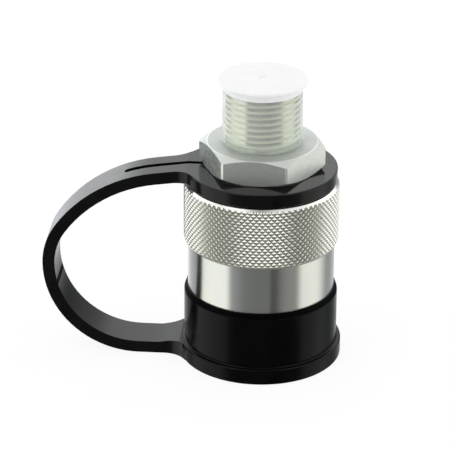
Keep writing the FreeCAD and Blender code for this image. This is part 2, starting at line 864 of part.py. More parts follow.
def add_stud_and_shank(body):
    """The turned outside and the stepped bore of the adapter."""
    bevel = named("stud_bevel")
    undercut = stud_radius - named("stud_undercut_depth")
    undercut_top = hex_top + named("stud_undercut_length")
    relief = shank_radius - named("shank_undercut_depth")
    relief_front = hex_bottom - named("shank_undercut_length")
    seal_front = pilot_front + (named("pilot_length") - named("pilot_groove_length")) / 2
    seal_rear = seal_front + named("pilot_groove_length")
    revolve(body, "stud_and_shank", outline_of([
        (ZERO, pilot_front),
        (pilot_radius, pilot_front),
        (pilot_radius, seal_front),
        (pilot_groove_radius, seal_front),
        (pilot_groove_radius, seal_rear),
        (pilot_radius, seal_rear),
        (pilot_radius, shank_thread_front),
        (shank_radius, shank_thread_front),
        (shank_radius, relief_front),
        (relief, relief_front),
        (relief, hex_bottom),
        (undercut, hex_bottom),
        (undercut, undercut_top),
        (stud_radius, undercut_top + (stud_radius - undercut)),
        (stud_radius, stud_end - bevel),
        (stud_radius - bevel, stud_end),
        (ZERO, stud_end),
    ]))
    tube = named("tube_radius")
    tube_floor = stud_end - named("tube_depth")
    cone_end = stud_end - (cone_mouth_radius - tube) / named("cone_half_angle").tangent()
    chamber = named("spring_chamber_radius")
    seat_inner = chamber - named("guide_seat_width")
    groove(body, "flow_bore", outline_of([
        (ZERO, pilot_front),
        (chamber, pilot_front),
        (chamber, guide_seat),
        (seat_inner, guide_seat),
        (bore_radius, guide_seat + (seat_inner - bore_radius)),
        (bore_radius, tube_floor),
        (tube, tube_floor),
        (tube, cone_end),
        (cone_mouth_radius, stud_end),
        (ZERO, stud_end),
    ]))


def add_adapter_seal(document):
    """The seal between the adapter's pilot and the body."""
    seal_height = pilot_front + named("pilot_length") / 2
    return o_ring(document, "adapter_seal", pilot_groove_radius, pilot_bore_radius,
                  seal_height, named("seal_play"))


def add_thread_protector(document):
    """The moulded push-on cap with a closed disc and a thin skirt."""
    body = new_body(document, "thread_protector")
    inner = stud_radius + named("protector_clearance")
    upper = inner + named("protector_wall")
    lower = upper + named("protector_taper")
    foot = hex_top + named("protector_foot_gap")
    disc = upper + named("protector_overhang")
    disc_top = disc_underside + named("protector_disc")
    revolve(body, "protector_moulding", outline_of([
        (inner, foot),
        (lower, foot),
        (upper, disc_underside),
        (disc, disc_underside),
        (disc, disc_top),
        (ZERO, disc_top),
        (ZERO, disc_underside),
        (inner, disc_underside),
    ]))
    return body


def add_parts(document):
    """Every sub-part, from the base to the stud."""
    return [
        add_dust_cap(document),
        add_coupling_sleeve(document),
        add_socket_body(document),
        *add_body_seals(document),
        add_poppet(document),
        add_poppet_seal(document),
        add_valve_spring(document),
        add_valve_guide(document),
        add_rear_adapter(document),
        add_adapter_seal(document),
        add_thread_protector(document),
    ]


def check(document, parts):
    """Stop before anything is written if an object has failed."""
    for item in document.Objects:
        if {"Invalid", "Error"} & set(item.State):
            raise RuntimeError(f"{item.Label} has failed: {item.State}")
    for part in parts:
        if part.Shape.isNull() or not part.Shape.isValid():
            raise RuntimeError(f"{part.Label} has no valid shape")
        if len(part.Shape.Solids) != 1:
            raise RuntimeError(f"{part.Label} is {len(part.Shape.Solids)} solids, not one")


def export(parts):
    """Write each sub-part under its own name."""
    os.makedirs(PARTS_FOLDER, exist_ok=True)
    for part in parts:
        part.Shape.exportStep(f"{PARTS_FOLDER}/{part.Label}.step")
        box = part.Shape.BoundBox
        print(f"{part.Label}: {part.Shape.Volume:.1f} mm3, z {box.ZMin:.2f} to {box.ZMax:.2f}")


document = new_document()
parts = add_parts(document)
document.recompute()
check(document, parts)
export(parts)
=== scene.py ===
"""Blender scene of a screw-on hydraulic coupler half that stands in its rubber dust cap.

Turned pieces are drawn as an outline and spun round the coupler's axis, as on a lathe. The knurl, the
hexagon and the threads are then cut with the shapes of the tools that make them. Every length is in
metres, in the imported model's frame: +Z runs from the dust cap up to the threaded stud.
"""

import json
import logging
import math
from contextlib import contextmanager
from dataclasses import dataclass, field
from enum import Enum
from typing import Callable, Iterator, Sequence

import bmesh
import bpy
from mathutils import Matrix, Vector


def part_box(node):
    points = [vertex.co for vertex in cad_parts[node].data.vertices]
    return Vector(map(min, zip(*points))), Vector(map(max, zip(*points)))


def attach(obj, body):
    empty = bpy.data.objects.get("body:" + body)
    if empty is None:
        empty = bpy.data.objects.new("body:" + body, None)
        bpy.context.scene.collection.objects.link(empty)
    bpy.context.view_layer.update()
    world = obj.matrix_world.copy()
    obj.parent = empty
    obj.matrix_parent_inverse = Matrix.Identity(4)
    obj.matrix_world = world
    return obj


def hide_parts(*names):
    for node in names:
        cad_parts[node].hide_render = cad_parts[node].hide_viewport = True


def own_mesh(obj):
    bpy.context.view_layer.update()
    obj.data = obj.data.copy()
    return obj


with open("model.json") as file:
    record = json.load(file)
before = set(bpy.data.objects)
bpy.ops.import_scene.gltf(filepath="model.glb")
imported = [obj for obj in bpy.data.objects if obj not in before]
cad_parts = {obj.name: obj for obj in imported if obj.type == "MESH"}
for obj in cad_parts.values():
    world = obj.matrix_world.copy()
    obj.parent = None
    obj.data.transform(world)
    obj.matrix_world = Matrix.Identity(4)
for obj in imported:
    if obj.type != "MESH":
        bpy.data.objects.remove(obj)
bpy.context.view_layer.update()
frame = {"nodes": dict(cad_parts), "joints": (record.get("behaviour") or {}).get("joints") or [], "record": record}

MM = 0.001
MERGE_DISTANCE = 0.0005 * MM
NEAR = 0.01 * MM
FULL_TURN = 2 * math.pi
SHARP_ON_METAL = 25.0
SHARP_ON_MOULDINGS = 35.0

Colour = tuple[float, float, float, float]
Finish = bpy.types.Material
Tree = bpy.types.NodeTree
Node = bpy.types.Node
Socket = bpy.types.NodeSocket
Sockets = bpy.types.NodeOutputs

log = logging.getLogger("coupler")


class Element(Enum):
    """What an edit-mode selection picks."""

    VERTEX = "VERT"
    EDGE = "EDGE"


class Cut(Enum):
    """What a tool shape does to a workpiece."""

    TAKE_AWAY = "DIFFERENCE"
    KEEP_INSIDE = "INTERSECT"
    JOIN_ON = "UNION"


class Lay(Enum):
    """The way that the tool marks on a metal surface run."""

    TURNED = "round the axis"
    PLAIN = "no direction"


def select_all() -> None:
    """Selects all of the mesh that is being edited."""
    bpy.ops.mesh.select_all(action="SELECT")


def off_axis(point: Vector) -> float:
    """How far a point lies from the coupler's axis."""
    return math.hypot(point.x, point.y)


@dataclass(frozen=True)
class Corner:
    """One corner of a turned outline.

    radius is its distance from the axis and height its level. rounding is how far the corner's round
    reaches along both of its edges.
    """

    radius: float
    height: float
    rounding: float = 0.0

    def place(self) -> Vector:
        """The corner's point in the XZ plane."""
        return Vector((self.radius, 0.0, self.height))


@dataclass(frozen=True)
class Line:
    """A straight run of a flat outline to a point."""

    end: Vector

    def extend(self, here: Vector, axis: Vector) -> Vector:
        """Draws the run on from the selected vertex, and says where it ends."""
        bpy.ops.mesh.extrude_region_move(TRANSFORM_OT_translate={"value": self.end - here})
        return self.end


@dataclass(frozen=True)
class Arc:
    """A round run of a flat outline about a centre, by an angle in degrees."""

    centre: Vector
    angle: float
    step_angle: float = 4.0

    def extend(self, here: Vector, axis: Vector) -> Vector:
        """Draws the run on from the selected vertex.

        Args:
            here: Where the outline has got to.
            axis: The outline's normal, about which a positive angle turns counterclockwise.

        Returns:
            Where the run ends.
        """
        turn = math.radians(self.angle)
        steps = max(1, round(abs(self.angle) / self.step_angle))
        bpy.ops.mesh.spin(steps=steps, angle=-turn, center=self.centre, axis=axis)
        return self.centre + Matrix.Rotation(turn, 3, axis) @ (here - self.centre)


class Workpiece:
    """A mesh on the bench, shaped with edit-mode operators and applied modifiers."""

    ROUND_STEPS = 3

    def __init__(self, name: str) -> None:
        """Takes up the primitive that was added last.

        Args:
            name: The name of the finished piece.
        """
        self.solid = bpy.context.object
        self.solid.name = name
        self.solid.data.name = name
        bpy.ops.object.transform_apply(location=True, rotation=True, scale=True)

    @classmethod
    def dot(cls, name: str, place: Vector) -> "Workpiece":
        """Starts a piece as a single vertex.

        Args:
            name: The name of the piece.
            place: Where the vertex lies.

        Returns:
            The piece, from whose vertex an outline can be drawn.
        """
        bpy.ops.mesh.primitive_plane_add(size=MM)
        piece = cls(name)
        with piece.editing():
            select_all()
            bpy.ops.mesh.merge(type="CENTER")
            bpy.ops.transform.translate(value=place)
        return piece

    @classmethod
    def polygon(cls, name: str, points: Sequence[Vector]) -> "Workpiece":
        """Draws a flat outline through points and fills it.

        Args:
            name: The name of the piece.
            points: The outline's corners in order.

        Returns:
            The piece, of one face.
        """
        piece = cls.dot(name, points[0])
        with piece.editing():
            select_all()
            for here, there in zip(points, points[1:]):
                bpy.ops.mesh.extrude_region_move(TRANSFORM_OT_translate={"value": there - here})
            select_all()
            bpy.ops.mesh.edge_face_add()
        return piece

    @classmethod
    def plate(
        cls, name: str, start: Vector, runs: Sequence[Line | Arc], thickness: Vector
    ) -> "Workpiece":
        """Draws a flat outline and extrudes it into a plate.

        Args:
            name: The name of the piece.
            start: The outline's first corner.
            runs: The runs that follow it. The side from the last one back to the start is straight.
            thickness: Which way and how far the outline is extruded.

        Returns:
            The closed plate.
        """
        piece = cls.dot(name, start)
        here = start
        with piece.editing():
            select_all()
            for run in runs:
                here = run.extend(here, thickness.normalized())
            select_all()
            bpy.ops.mesh.edge_face_add()
            bpy.ops.mesh.extrude_region_move(TRANSFORM_OT_translate={"value": thickness})
            select_all()
            bpy.ops.mesh.normals_make_consistent(inside=False)
        return piece

    @classmethod
    def turned(cls, name: str, outline: Sequence[Corner], steps: int = 192) -> "Workpiece":
        """Draws an outline beside the axis and spins it into a closed solid.

        Args:
            name: The name of the piece.
            outline: The outline's corners in order. One that touches the axis begins and ends there.
            steps: How many steps the full turn has.

        Returns:
            The turned solid.
        """
        piece = cls.polygon(name, [corner.place() for corner in outline])
        with piece.editing():
            piece._round_outline(outline)
            select_all()
            bpy.ops.mesh.delete(type="ONLY_FACE")
            piece.pick(Element.EDGE, lambda middle: abs(middle.x) < MERGE_DISTANCE)
            bpy.ops.mesh.delete(type="EDGE")
            select_all()
            bpy.ops.mesh.spin(steps=steps, angle=FULL_TURN, center=(0, 0, 0), axis=(0, 0, 1))
            select_all()
            bpy.ops.mesh.remove_doubles(threshold=MERGE_DISTANCE)
            bpy.ops.mesh.normals_make_consistent(inside=False)
        return piece

    def _round_outline(self, outline: Sequence[Corner]) -> None:
        """Rounds the flat outline's corners that ask for it.

        Args:
            outline: The corners with their roundings.
        """
        for corner in outline:
            if corner.rounding:
                place = corner.place()
                self.pick(Element.VERTEX, lambda point: (point - place).length < MERGE_DISTANCE)
                bpy.ops.mesh.bevel(offset=corner.rounding, segments=self.ROUND_STEPS, affect="VERTICES")

    @contextmanager
    def editing(self) -> Iterator[None]:
        """Opens the mesh alone in edit mode, with nothing selected, and closes it again.

        Returns:
            A context in which edit-mode operators shape this piece.
        """
        self.activate()
        bpy.ops.object.mode_set(mode="EDIT")
        bpy.ops.mesh.select_mode(type=Element.VERTEX.value)
        bpy.ops.mesh.select_all(action="DESELECT")
        try:
            yield
        finally:
            bpy.ops.object.mode_set(mode="OBJECT")

    def activate(self) -> None:
        """Makes the piece the only selected object and the active one."""
        bpy.ops.object.select_all(action="DESELECT")
        self.solid.select_set(True)
        bpy.context.view_layer.objects.active = self.solid

    def pick(self, kind: Element, wanted: Callable[[Vector], bool]) -> None:
        """Selects, in edit mode, what lies where it is wanted and nothing else.

        Args:
            kind: Vertices or edges.
            wanted: Says whether something with that middle is selected.
        """
        bpy.ops.mesh.select_all(action="DESELECT")
        bpy.ops.mesh.select_mode(type=kind.value)
        mesh = bmesh.from_edit_mesh(self.solid.data)
        if kind is Element.VERTEX:
            for vertex in mesh.verts:
                vertex.select_set(wanted(vertex.co))
        else:
            for edge in mesh.edges:
                edge.select_set(wanted((edge.verts[0].co + edge.verts[1].co) / 2))
        bmesh.update_edit_mesh(self.solid.data)

    def modify(self, kind: str, **settings: object) -> None:
        """Adds a modifier, sets it up and applies it.

        Args:
            kind: The modifier's type.
            settings: Its settings by name.
        """
        self.activate()
        modifier = self.solid.modifiers.new(kind.lower(), kind)
        for name, value in settings.items():
            setattr(modifier, name, value)
        bpy.ops.object.modifier_apply(modifier=modifier.name)

    def repeat(self, count: int, step: Vector) -> None:
        """Lays copies of the mesh in a row.

        Args:
            count: How many there are with the first.
            step: The way from each one to the next.
        """
        self.modify(
            "ARRAY",
            count=count,
            use_relative_offset=False,
            use_constant_offset=True,
            constant_offset_displace=step,
        )

    def coil(self, rise: float, steps: int, angle: float = FULL_TURN, sweeps: int = 1) -> None:
        """Winds a flat closed outline round the axis and closes the ends.

        Args:
            rise: How far one sweep climbs.
            steps: How many steps one sweep has.
            angle: How far round one sweep goes.
            sweeps: How many sweeps follow each other.
        """
        self.modify(
            "SCREW",
            angle=angle,
            screw_offset=rise,
            iterations=sweeps,
            steps=steps,
            use_merge_vertices=False,
        )
        with self.editing():
            select_all()
            bpy.ops.mesh.fill_holes(sides=0)
            bpy.ops.mesh.normals_make_consistent(inside=False)

    def shape_with(self, tool: "Workpiece", cut: Cut) -> None:
        """Cuts, trims or extends the piece with another solid, which is used up."""
        self.modify("BOOLEAN", object=tool.solid, operation=cut.value, solver="EXACT")
        bpy.data.objects.remove(tool.solid)

    def shade(self, sharp_angle: float) -> None:
        """Shades the piece smooth, apart from edges that turn by more than an angle.

        Args:
            sharp_angle: The angle in degrees.
        """
        self.activate()
        bpy.ops.object.shade_smooth_by_angle(angle=math.radians(sharp_angle))
        self.modify("WEIGHTED_NORMAL", keep_sharp=True)

    def dress(self, *finishes: Finish) -> None:
        """Gives the piece its finishes, of which every face has the first.

        Args:
            finishes: The materials in the order of their slots.
        """
        self.solid.data.materials.clear()
        for finish in finishes:
            self.solid.data.materials.append(finish)
        for face in self.solid.data.polygons:
            face.material_index = 0

    def dress_where(self, index: int, wanted: Callable[[Vector], bool]) -> None:
        """Gives the faces whose middle lies where it is wanted another of the finishes.

        Args:
            index: The finish's slot.
            wanted: Says whether a face with that middle gets it.
        """
        for face in self.solid.data.polygons:
            if wanted(face.center):
                face.material_index = index

    def seat(self, body: str, slot: str, node: str) -> None:
        """Puts the finished piece in a node's place.

        Args:
            body: The body that it moves with.
            slot: The record's material slot, which is not used.
            node: The node that it stands for.
        """
        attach(self.solid, body)
        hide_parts(node)
        log.info("%s: %d faces on %s", self.solid.name, len(self.solid.data.polygons), body)


def helix_cutter(
    name: str, root: float, crest: float, pitch: float, start: float, turns: int
) -> Workpiece:
    """A V-shaped thread tool's path: a closed right-handed helical ridge.

    Args:
        name: The cutter's name.
        root: The radius that the tool's flat point reaches.
        crest: The radius of the surface that it cuts into.
        pitch: The thread's pitch, nearly half of which is left as crest.
        start: The level of the first turn.
        turns: The number of turns.

    Returns:
        The cutter, a little wider than the crest so that it leaves no skin.
    """
    steps_each_turn = 96
    overlap_share = 0.06
    point_width = pitch * 0.10
    crest_width = pitch * 0.55
    clear = (crest - root) * overlap_share
    widening = (crest_width - point_width) / abs(crest - root)
    outer_half = (crest_width + widening * abs(clear)) / 2
    corners = (
        Vector((root, 0, start - point_width / 2)),
        Vector((root, 0, start + point_width / 2)),
        Vector((crest + clear, 0, start + outer_half)),
        Vector((crest + clear, 0, start - outer_half)),
    )
    cutter = Workpiece.polygon(name, corners)
    with cutter.editing():
        select_all()
        bpy.ops.mesh.delete(type="ONLY_FACE")
    cutter.coil(pitch, steps_each_turn, sweeps=turns)
    return cutter


def feed(tree: Tree, node: Node, inputs: dict[str | int, object]) -> None:
    """Gives a node's inputs what they read.

    Args:
        tree: The node tree that it is in.
        node: The node.
        inputs: An output to link or a plain value for each input, by name or number.
    """
    for name, value in inputs.items():
        if isinstance(value, Socket):
            tree.links.new(value, node.inputs[name])
        else:
            node.inputs[name].default_value = value


def add_node(
    tree: Tree, kind: str, inputs: dict[str | int, object] | None = None, **settings: object
) -> Node:
    """Adds a shader node and wires it up.

    Args:
        tree: The node tree that it goes into.
        kind: The node's type.
        inputs: What its inputs read, as in feed.
        settings: The node's own settings by name.

    Returns:
        The new node.
    """
    made = tree.nodes.new(kind)
    for name, value in settings.items():
        setattr(made, name, value)
    feed(tree, made, inputs or {})
    return made


def calculate(tree: Tree, operation: str, *values: Socket | float, clamp: bool = False) -> Socket:
    """What a Math node makes of some values, kept between 0 and 1 where clamp says so."""
    made = add_node(tree, "ShaderNodeMath", dict(enumerate(values)), operation=operation, use_clamp=clamp)
    return made.outputs[0]


def share_between(
    tree: Tree, value: Socket, start: Socket | float, end: Socket | float, easing: str = "LINEAR"
) -> Socket:
    """How far a value has got from a start to an end, from 0 to 1."""
    limits = {"Value": value, "From Min": start, "From Max": end}
    return add_node(tree, "ShaderNodeMapRange", limits, interpolation_type=easing).outputs["Result"]


def mix_shaders(tree: Tree, share: Socket | float, first: Socket, second: Socket) -> Socket:
    """A shader that goes from the first to the second with a share."""
    return add_node(tree, "ShaderNodeMixShader", {0: share, 1: first, 2: second}).outputs[0]


def mix_colours(tree: Tree, share: Socket, first: Socket | Colour, second: Socket | Colour) -> Socket:
    """A colour that goes from the first to the second with a share."""
    made = add_node(tree, "ShaderNodeMix", {0: share, 6: first, 7: second}, data_type="RGBA")
    return made.outputs[2]


def ramp(tree: Tree, factor: Socket, stops: Sequence[tuple[float, Colour]]) -> Socket:
    """Adds a colour ramp.

    Args:
        tree: The node tree that it goes into.
        factor: What the ramp reads, from 0 to 1.
        stops: Places from 0 to 1 with their colours, in order.

    Returns:
        The ramp's colour output.
    """
    made = add_node(tree, "ShaderNodeValToRGB", {"Fac": factor})
    elements = made.color_ramp.elements
    elements[0].position, elements[0].color = stops[0]
    elements[1].position, elements[1].color = stops[-1]
    for place, colour in stops[1:-1]:
        elements.new(place).color = colour
    return made.outputs["Color"]


def blend_by(tree: Tree, mask: Socket, low: Colour, high: Colour) -> Socket:
    """A colour that goes from low to high with a mask."""
    return ramp(tree, mask, ((0.0, low), (1.0, high)))


def spread_by(tree: Tree, mask: Socket, low: float, high: float) -> Socket:
    """A value that goes from low to high with a mask."""
    made = add_node(tree, "ShaderNodeMapRange", {"Value": mask, "To Min": low, "To Max": high})
    return made.outputs["Result"]


def bump(tree: Tree, height: Socket, depth: float) -> Socket:
    """A normal from a height mask, whose full range is that deep."""
    return add_node(tree, "ShaderNodeBump", {"Height": height, "Distance": depth}).outputs["Normal"]


def seen_straight(tree: Tree) -> Socket:
    """A mask that is 1 for what the camera sees directly or through clear plastic, and 0 in mirrors.

    Args:
        tree: The node tree of the floor's material or of the world.

    Returns:
        The mask's output.
    """
    path = add_node(tree, "ShaderNodeLightPath").outputs
    unbent = calculate(tree, "MAXIMUM", path["Is Camera Ray"], path["Is Transmission Ray"])
    return calculate(tree, "SUBTRACT", unbent, path["Glossy Depth"], clamp=True)


def grey(value: float) -> Colour:
    """A neutral colour of that brightness."""
    return (value, value, value, 1.0)


class Effects:
    """The effects that several finishes share, each a node group that is built once."""

    def __init__(self) -> None:
        """Builds the groups."""
        self.tool_marks = self._build_tool_marks()
        self.fine_grain = self._build_fine_grain()
        self.blotches = self._build_blotches()
        self.groove_to_tip = self._build_groove_to_tip()

    @staticmethod
    def _start(name: str, inputs: dict[str, str], result: str) -> tuple[Tree, Sockets, Node]:
        """Starts a group with its sockets.

        Args:
            name: The group's name.
            inputs: Each input's kind by its name.
            result: The name of the group's only output, a number.

        Returns:
            The group's tree, the inputs' sockets by name and the output node.
        """
        tree = bpy.data.node_groups.new(name, "ShaderNodeTree")
        for label, kind in inputs.items():
            tree.interface.new_socket(label, in_out="INPUT", socket_type=f"NodeSocket{kind}")
        tree.interface.new_socket(result, in_out="OUTPUT", socket_type="NodeSocketFloat")
        return tree, tree.nodes.new("NodeGroupInput").outputs, tree.nodes.new("NodeGroupOutput")

    @staticmethod
    def _noise(tree: Tree, place: Socket, scale: Socket | float, detail: float, roughness: float) -> Socket:
        """Soft noise from 0 to 1 at a place, with so many finer layers of that strength."""
        settings = {"Vector": place, "Scale": scale, "Detail": detail, "Roughness": roughness}
        return add_node(tree, "ShaderNodeTexNoise", settings).outputs["Fac"]

    def _build_tool_marks(self) -> Tree:
        """Fine parallel marks that run far along two axes and change fast along the third.

        Returns:
            The group's tree.
        """
        tree, given, out = self._start("tool_marks", {"Position": "Vector", "Across": "Vector"}, "Height")
        factors = {0: given["Position"], 1: given["Across"]}
        scaled = add_node(tree, "ShaderNodeVectorMath", factors, operation="MULTIPLY").outputs[0]
        feed(tree, out, {"Height": self._noise(tree, scaled, scale=1.0, detail=4.0, roughness=0.6)})
        return tree

    def _build_fine_grain(self) -> Tree:
        """A fine even grain, as on moulded rubber or blasted steel.

        Returns:
            The group's tree.
        """
        tree, given, out = self._start("fine_grain", {"Position": "Vector", "Frequency": "Float"}, "Height")
        grain = self._noise(tree, given["Position"], given["Frequency"], detail=3.0, roughness=0.55)
        feed(tree, out, {"Height": grain})
        return tree

    def _build_blotches(self) -> Tree:
        """Slow soft patches of change, from 0 to 1.

        Returns:
            The group's tree.
        """
        tree, given, out = self._start("blotches", {"Position": "Vector", "Frequency": "Float"}, "Mask")
        cloud = self._noise(tree, given["Position"], given["Frequency"], detail=2.0, roughness=0.5)
        feed(tree, out, {"Mask": share_between(tree, cloud, 0.35, 0.65)})
        return tree

    def _build_groove_to_tip(self) -> Tree:
        """How far a point lies out from the axis between two radii, from 0 to 1.

        Returns:
            The group's tree.
        """
        inputs = {"Position": "Vector", "Root": "Float", "Tip": "Float"}
        tree, given, out = self._start("groove_to_tip", inputs, "Mask")
        factors = {0: given["Position"], 1: (1, 1, 0)}
        flat = add_node(tree, "ShaderNodeVectorMath", factors, operation="MULTIPLY").outputs[0]
        radius = add_node(tree, "ShaderNodeVectorMath", {0: flat}, operation="LENGTH").outputs["Value"]
        feed(tree, out, {"Mask": share_between(tree, radius, given["Root"], given["Tip"])})
        return tree

    @staticmethod
    def use(tree: Tree, group: Tree, **inputs: object) -> Socket:
        """Places one of the groups in a material, with those inputs."""
        return add_node(tree, "ShaderNodeGroup", inputs, node_tree=group).outputs[0]


def empty_material(name: str) -> tuple[Finish, Tree, Node]:
    """Starts a material that is empty but for its output.

    Args:
        name: The material's name.

    Returns:
        The material, its node tree and its output node.
    """
    material = bpy.data.materials.new(name)
    material.use_nodes = True
    tree = material.node_tree
    tree.nodes.clear()
    return material, tree, add_node(tree, "ShaderNodeOutputMaterial")


def start_finish(name: str) -> tuple[Finish, Tree, Node, Socket]:
    """Starts a finish of the coupler.

    Args:
        name: The material's name.

    Returns:
        The material, its node tree, its Principled shader and the object coordinates' output.
    """
    material, tree, output = empty_material(name)
    shader = add_node(tree, "ShaderNodeBsdfPrincipled")
    feed(tree, output, {"Surface": shader.outputs["BSDF"]})
    return material, tree, shader, add_node(tree, "ShaderNodeTexCoord").outputs["Object"]


@dataclass(frozen=True)
class Steel:
    """Machined steel with its plating.

    tone and patch are the two colours of the plating's soft patches. mark_width is the spacing of the
    tool marks and mark_depth their depth. stretch is how far the marks of turning, which run round the
    axis, draw a mirrored image out along it, from 0 to 1.
    """

    ALONG_THE_AXIS = 0.25

    name: str
    tone: Colour
    patch: Colour
    smoothest: float
    roughest: float
    lay: Lay
    mark_width: float = 0.12 * MM
    mark_depth: float = 0.002 * MM
    mark_run: float = 12 * MM
    patch_width: float = 5 * MM
    stretch: float = 0.0

    def make(self, effects: Effects) -> Finish:
        """Builds the material.

        Args:
            effects: The shared node groups.

        Returns:
            The material.
        """
        material, tree, shader, position = start_finish(self.name)
        patches = effects.use(tree, effects.blotches, Position=position, Frequency=1 / self.patch_width)
        run, width = 1 / self.mark_run, 1 / self.mark_width
        across = (run, run, width) if self.lay is Lay.TURNED else (width, width, width)
        marks = effects.use(tree, effects.tool_marks, Position=position, Across=across)
        look = {
            "Base Color": blend_by(tree, patches, self.tone, self.patch),
            "Metallic": 1.0,
            "Roughness": spread_by(tree, marks, self.smoothest, self.roughest),
            "Normal": bump(tree, marks, self.mark_depth),
        }
        if self.stretch:
            round_axis = add_node(tree, "ShaderNodeTangent", direction_type="RADIAL", axis="Z")
            look["Tangent"] = round_axis.outputs["Tangent"]
            look["Anisotropic"] = self.stretch
            look["Anisotropic Rotation"] = self.ALONG_THE_AXIS
        feed(tree, shader, look)
        return material


@dataclass(frozen=True)
class KnurledSteel:
    """Plated steel with rolled knurls, rougher in the grooves and smoother on the tips; its colour darkens into
    the grooves as painted shade and pales on the tips as painted highlight.
    """

    name: str
    groove: Colour
    tip: Colour
    root_radius: float
    tip_radius: float
    groove_roughness: float = 0.42
    tip_roughness: float = 0.2
    grain_width: float = 0.08 * MM
    grain_depth: float = 0.006 * MM

    def make(self, effects: Effects) -> Finish:
        """Builds the material.

        Args:
            effects: The shared node groups.

        Returns:
            The material.
        """
        material, tree, shader, position = start_finish(self.name)
        height = effects.use(
            tree, effects.groove_to_tip, Position=position, Root=self.root_radius, Tip=self.tip_radius
        )
        grain = effects.use(tree, effects.fine_grain, Position=position, Frequency=1 / self.grain_width)
        look = {
            # Darker in the grooves as painted shade, paler on the tips as painted highlight.
            "Base Color": blend_by(tree, height, self.groove, self.tip),
            "Metallic": 1.0,
            "Roughness": spread_by(tree, height, self.groove_roughness, self.tip_roughness),
            "Normal": bump(tree, grain, self.grain_depth),
        }
        feed(tree, shader, look)
        return material


@dataclass(frozen=True)
class Moulding:
    """Moulded rubber or plastic that no light passes through."""

    name: str
    tone: Colour
    patch: Colour
    smoothest: float
    roughest: float
    grain_width: float = 0.25 * MM
    grain_depth: float = 0.004 * MM
    patch_width: float = 6 * MM
    refraction: float = 1.45
    sheen: float = 0.0
    sheen_roughness: float = 0.3

    def make(self, effects: Effects) -> Finish:
        """Builds the material.

        Args:
            effects: The shared node groups.

        Returns:
            The material.
        """
        material, tree, shader, position = start_finish(self.name)
        patches = effects.use(tree, effects.blotches, Position=position, Frequency=1 / self.patch_width)
        grain = effects.use(tree, effects.fine_grain, Position=position, Frequency=1 / self.grain_width)
        look = {
            "Base Color": blend_by(tree, patches, self.tone, self.patch),
            "Roughness": spread_by(tree, patches, self.smoothest, self.roughest),
            "Normal": bump(tree, grain, self.grain_depth),
            "IOR": self.refraction,
            "Sheen Weight": self.sheen,
            "Sheen Roughness": self.sheen_roughness,
        }
        feed(tree, shader, look)
        return material


@dataclass(frozen=True)
class Polyethylene:
    """Natural polyethylene, milky where it is thick and hazy where it is thin.

    clearness is the share of the light that passes through it. The patches vary its roughness by
    unevenness either way.
    """

    name: str
    tone: Colour
    patch: Colour
    clearness: float
    roughness: float
    refraction: float
    unevenness: float = 0.15
    grain_width: float = 0.5 * MM
    grain_depth: float = 0.004 * MM
    patch_width: float = 4 * MM

    def make(self, effects: Effects) -> Finish:
        """Builds the material.

        Args:
            effects: The shared node groups.

        Returns:
            The material.
        """
        material, tree, shader, position = start_finish(self.name)
        patches = effects.use(tree, effects.blotches, Position=position, Frequency=1 / self.patch_width)
        grain = effects.use(tree, effects.fine_grain, Position=position, Frequency=1 / self.grain_width)
        smoothest = self.roughness * (1 - self.unevenness)
        roughest = self.roughness * (1 + self.unevenness)
        look = {
            "Base Color": blend_by(tree, patches, self.tone, self.patch),
            "Roughness": spread_by(tree, patches, smoothest, roughest),
            "Normal": bump(tree, grain, self.grain_depth),
            "IOR": self.refraction,
            "Transmission Weight": self.clearness,
        }
        feed(tree, shader, look)
        return material


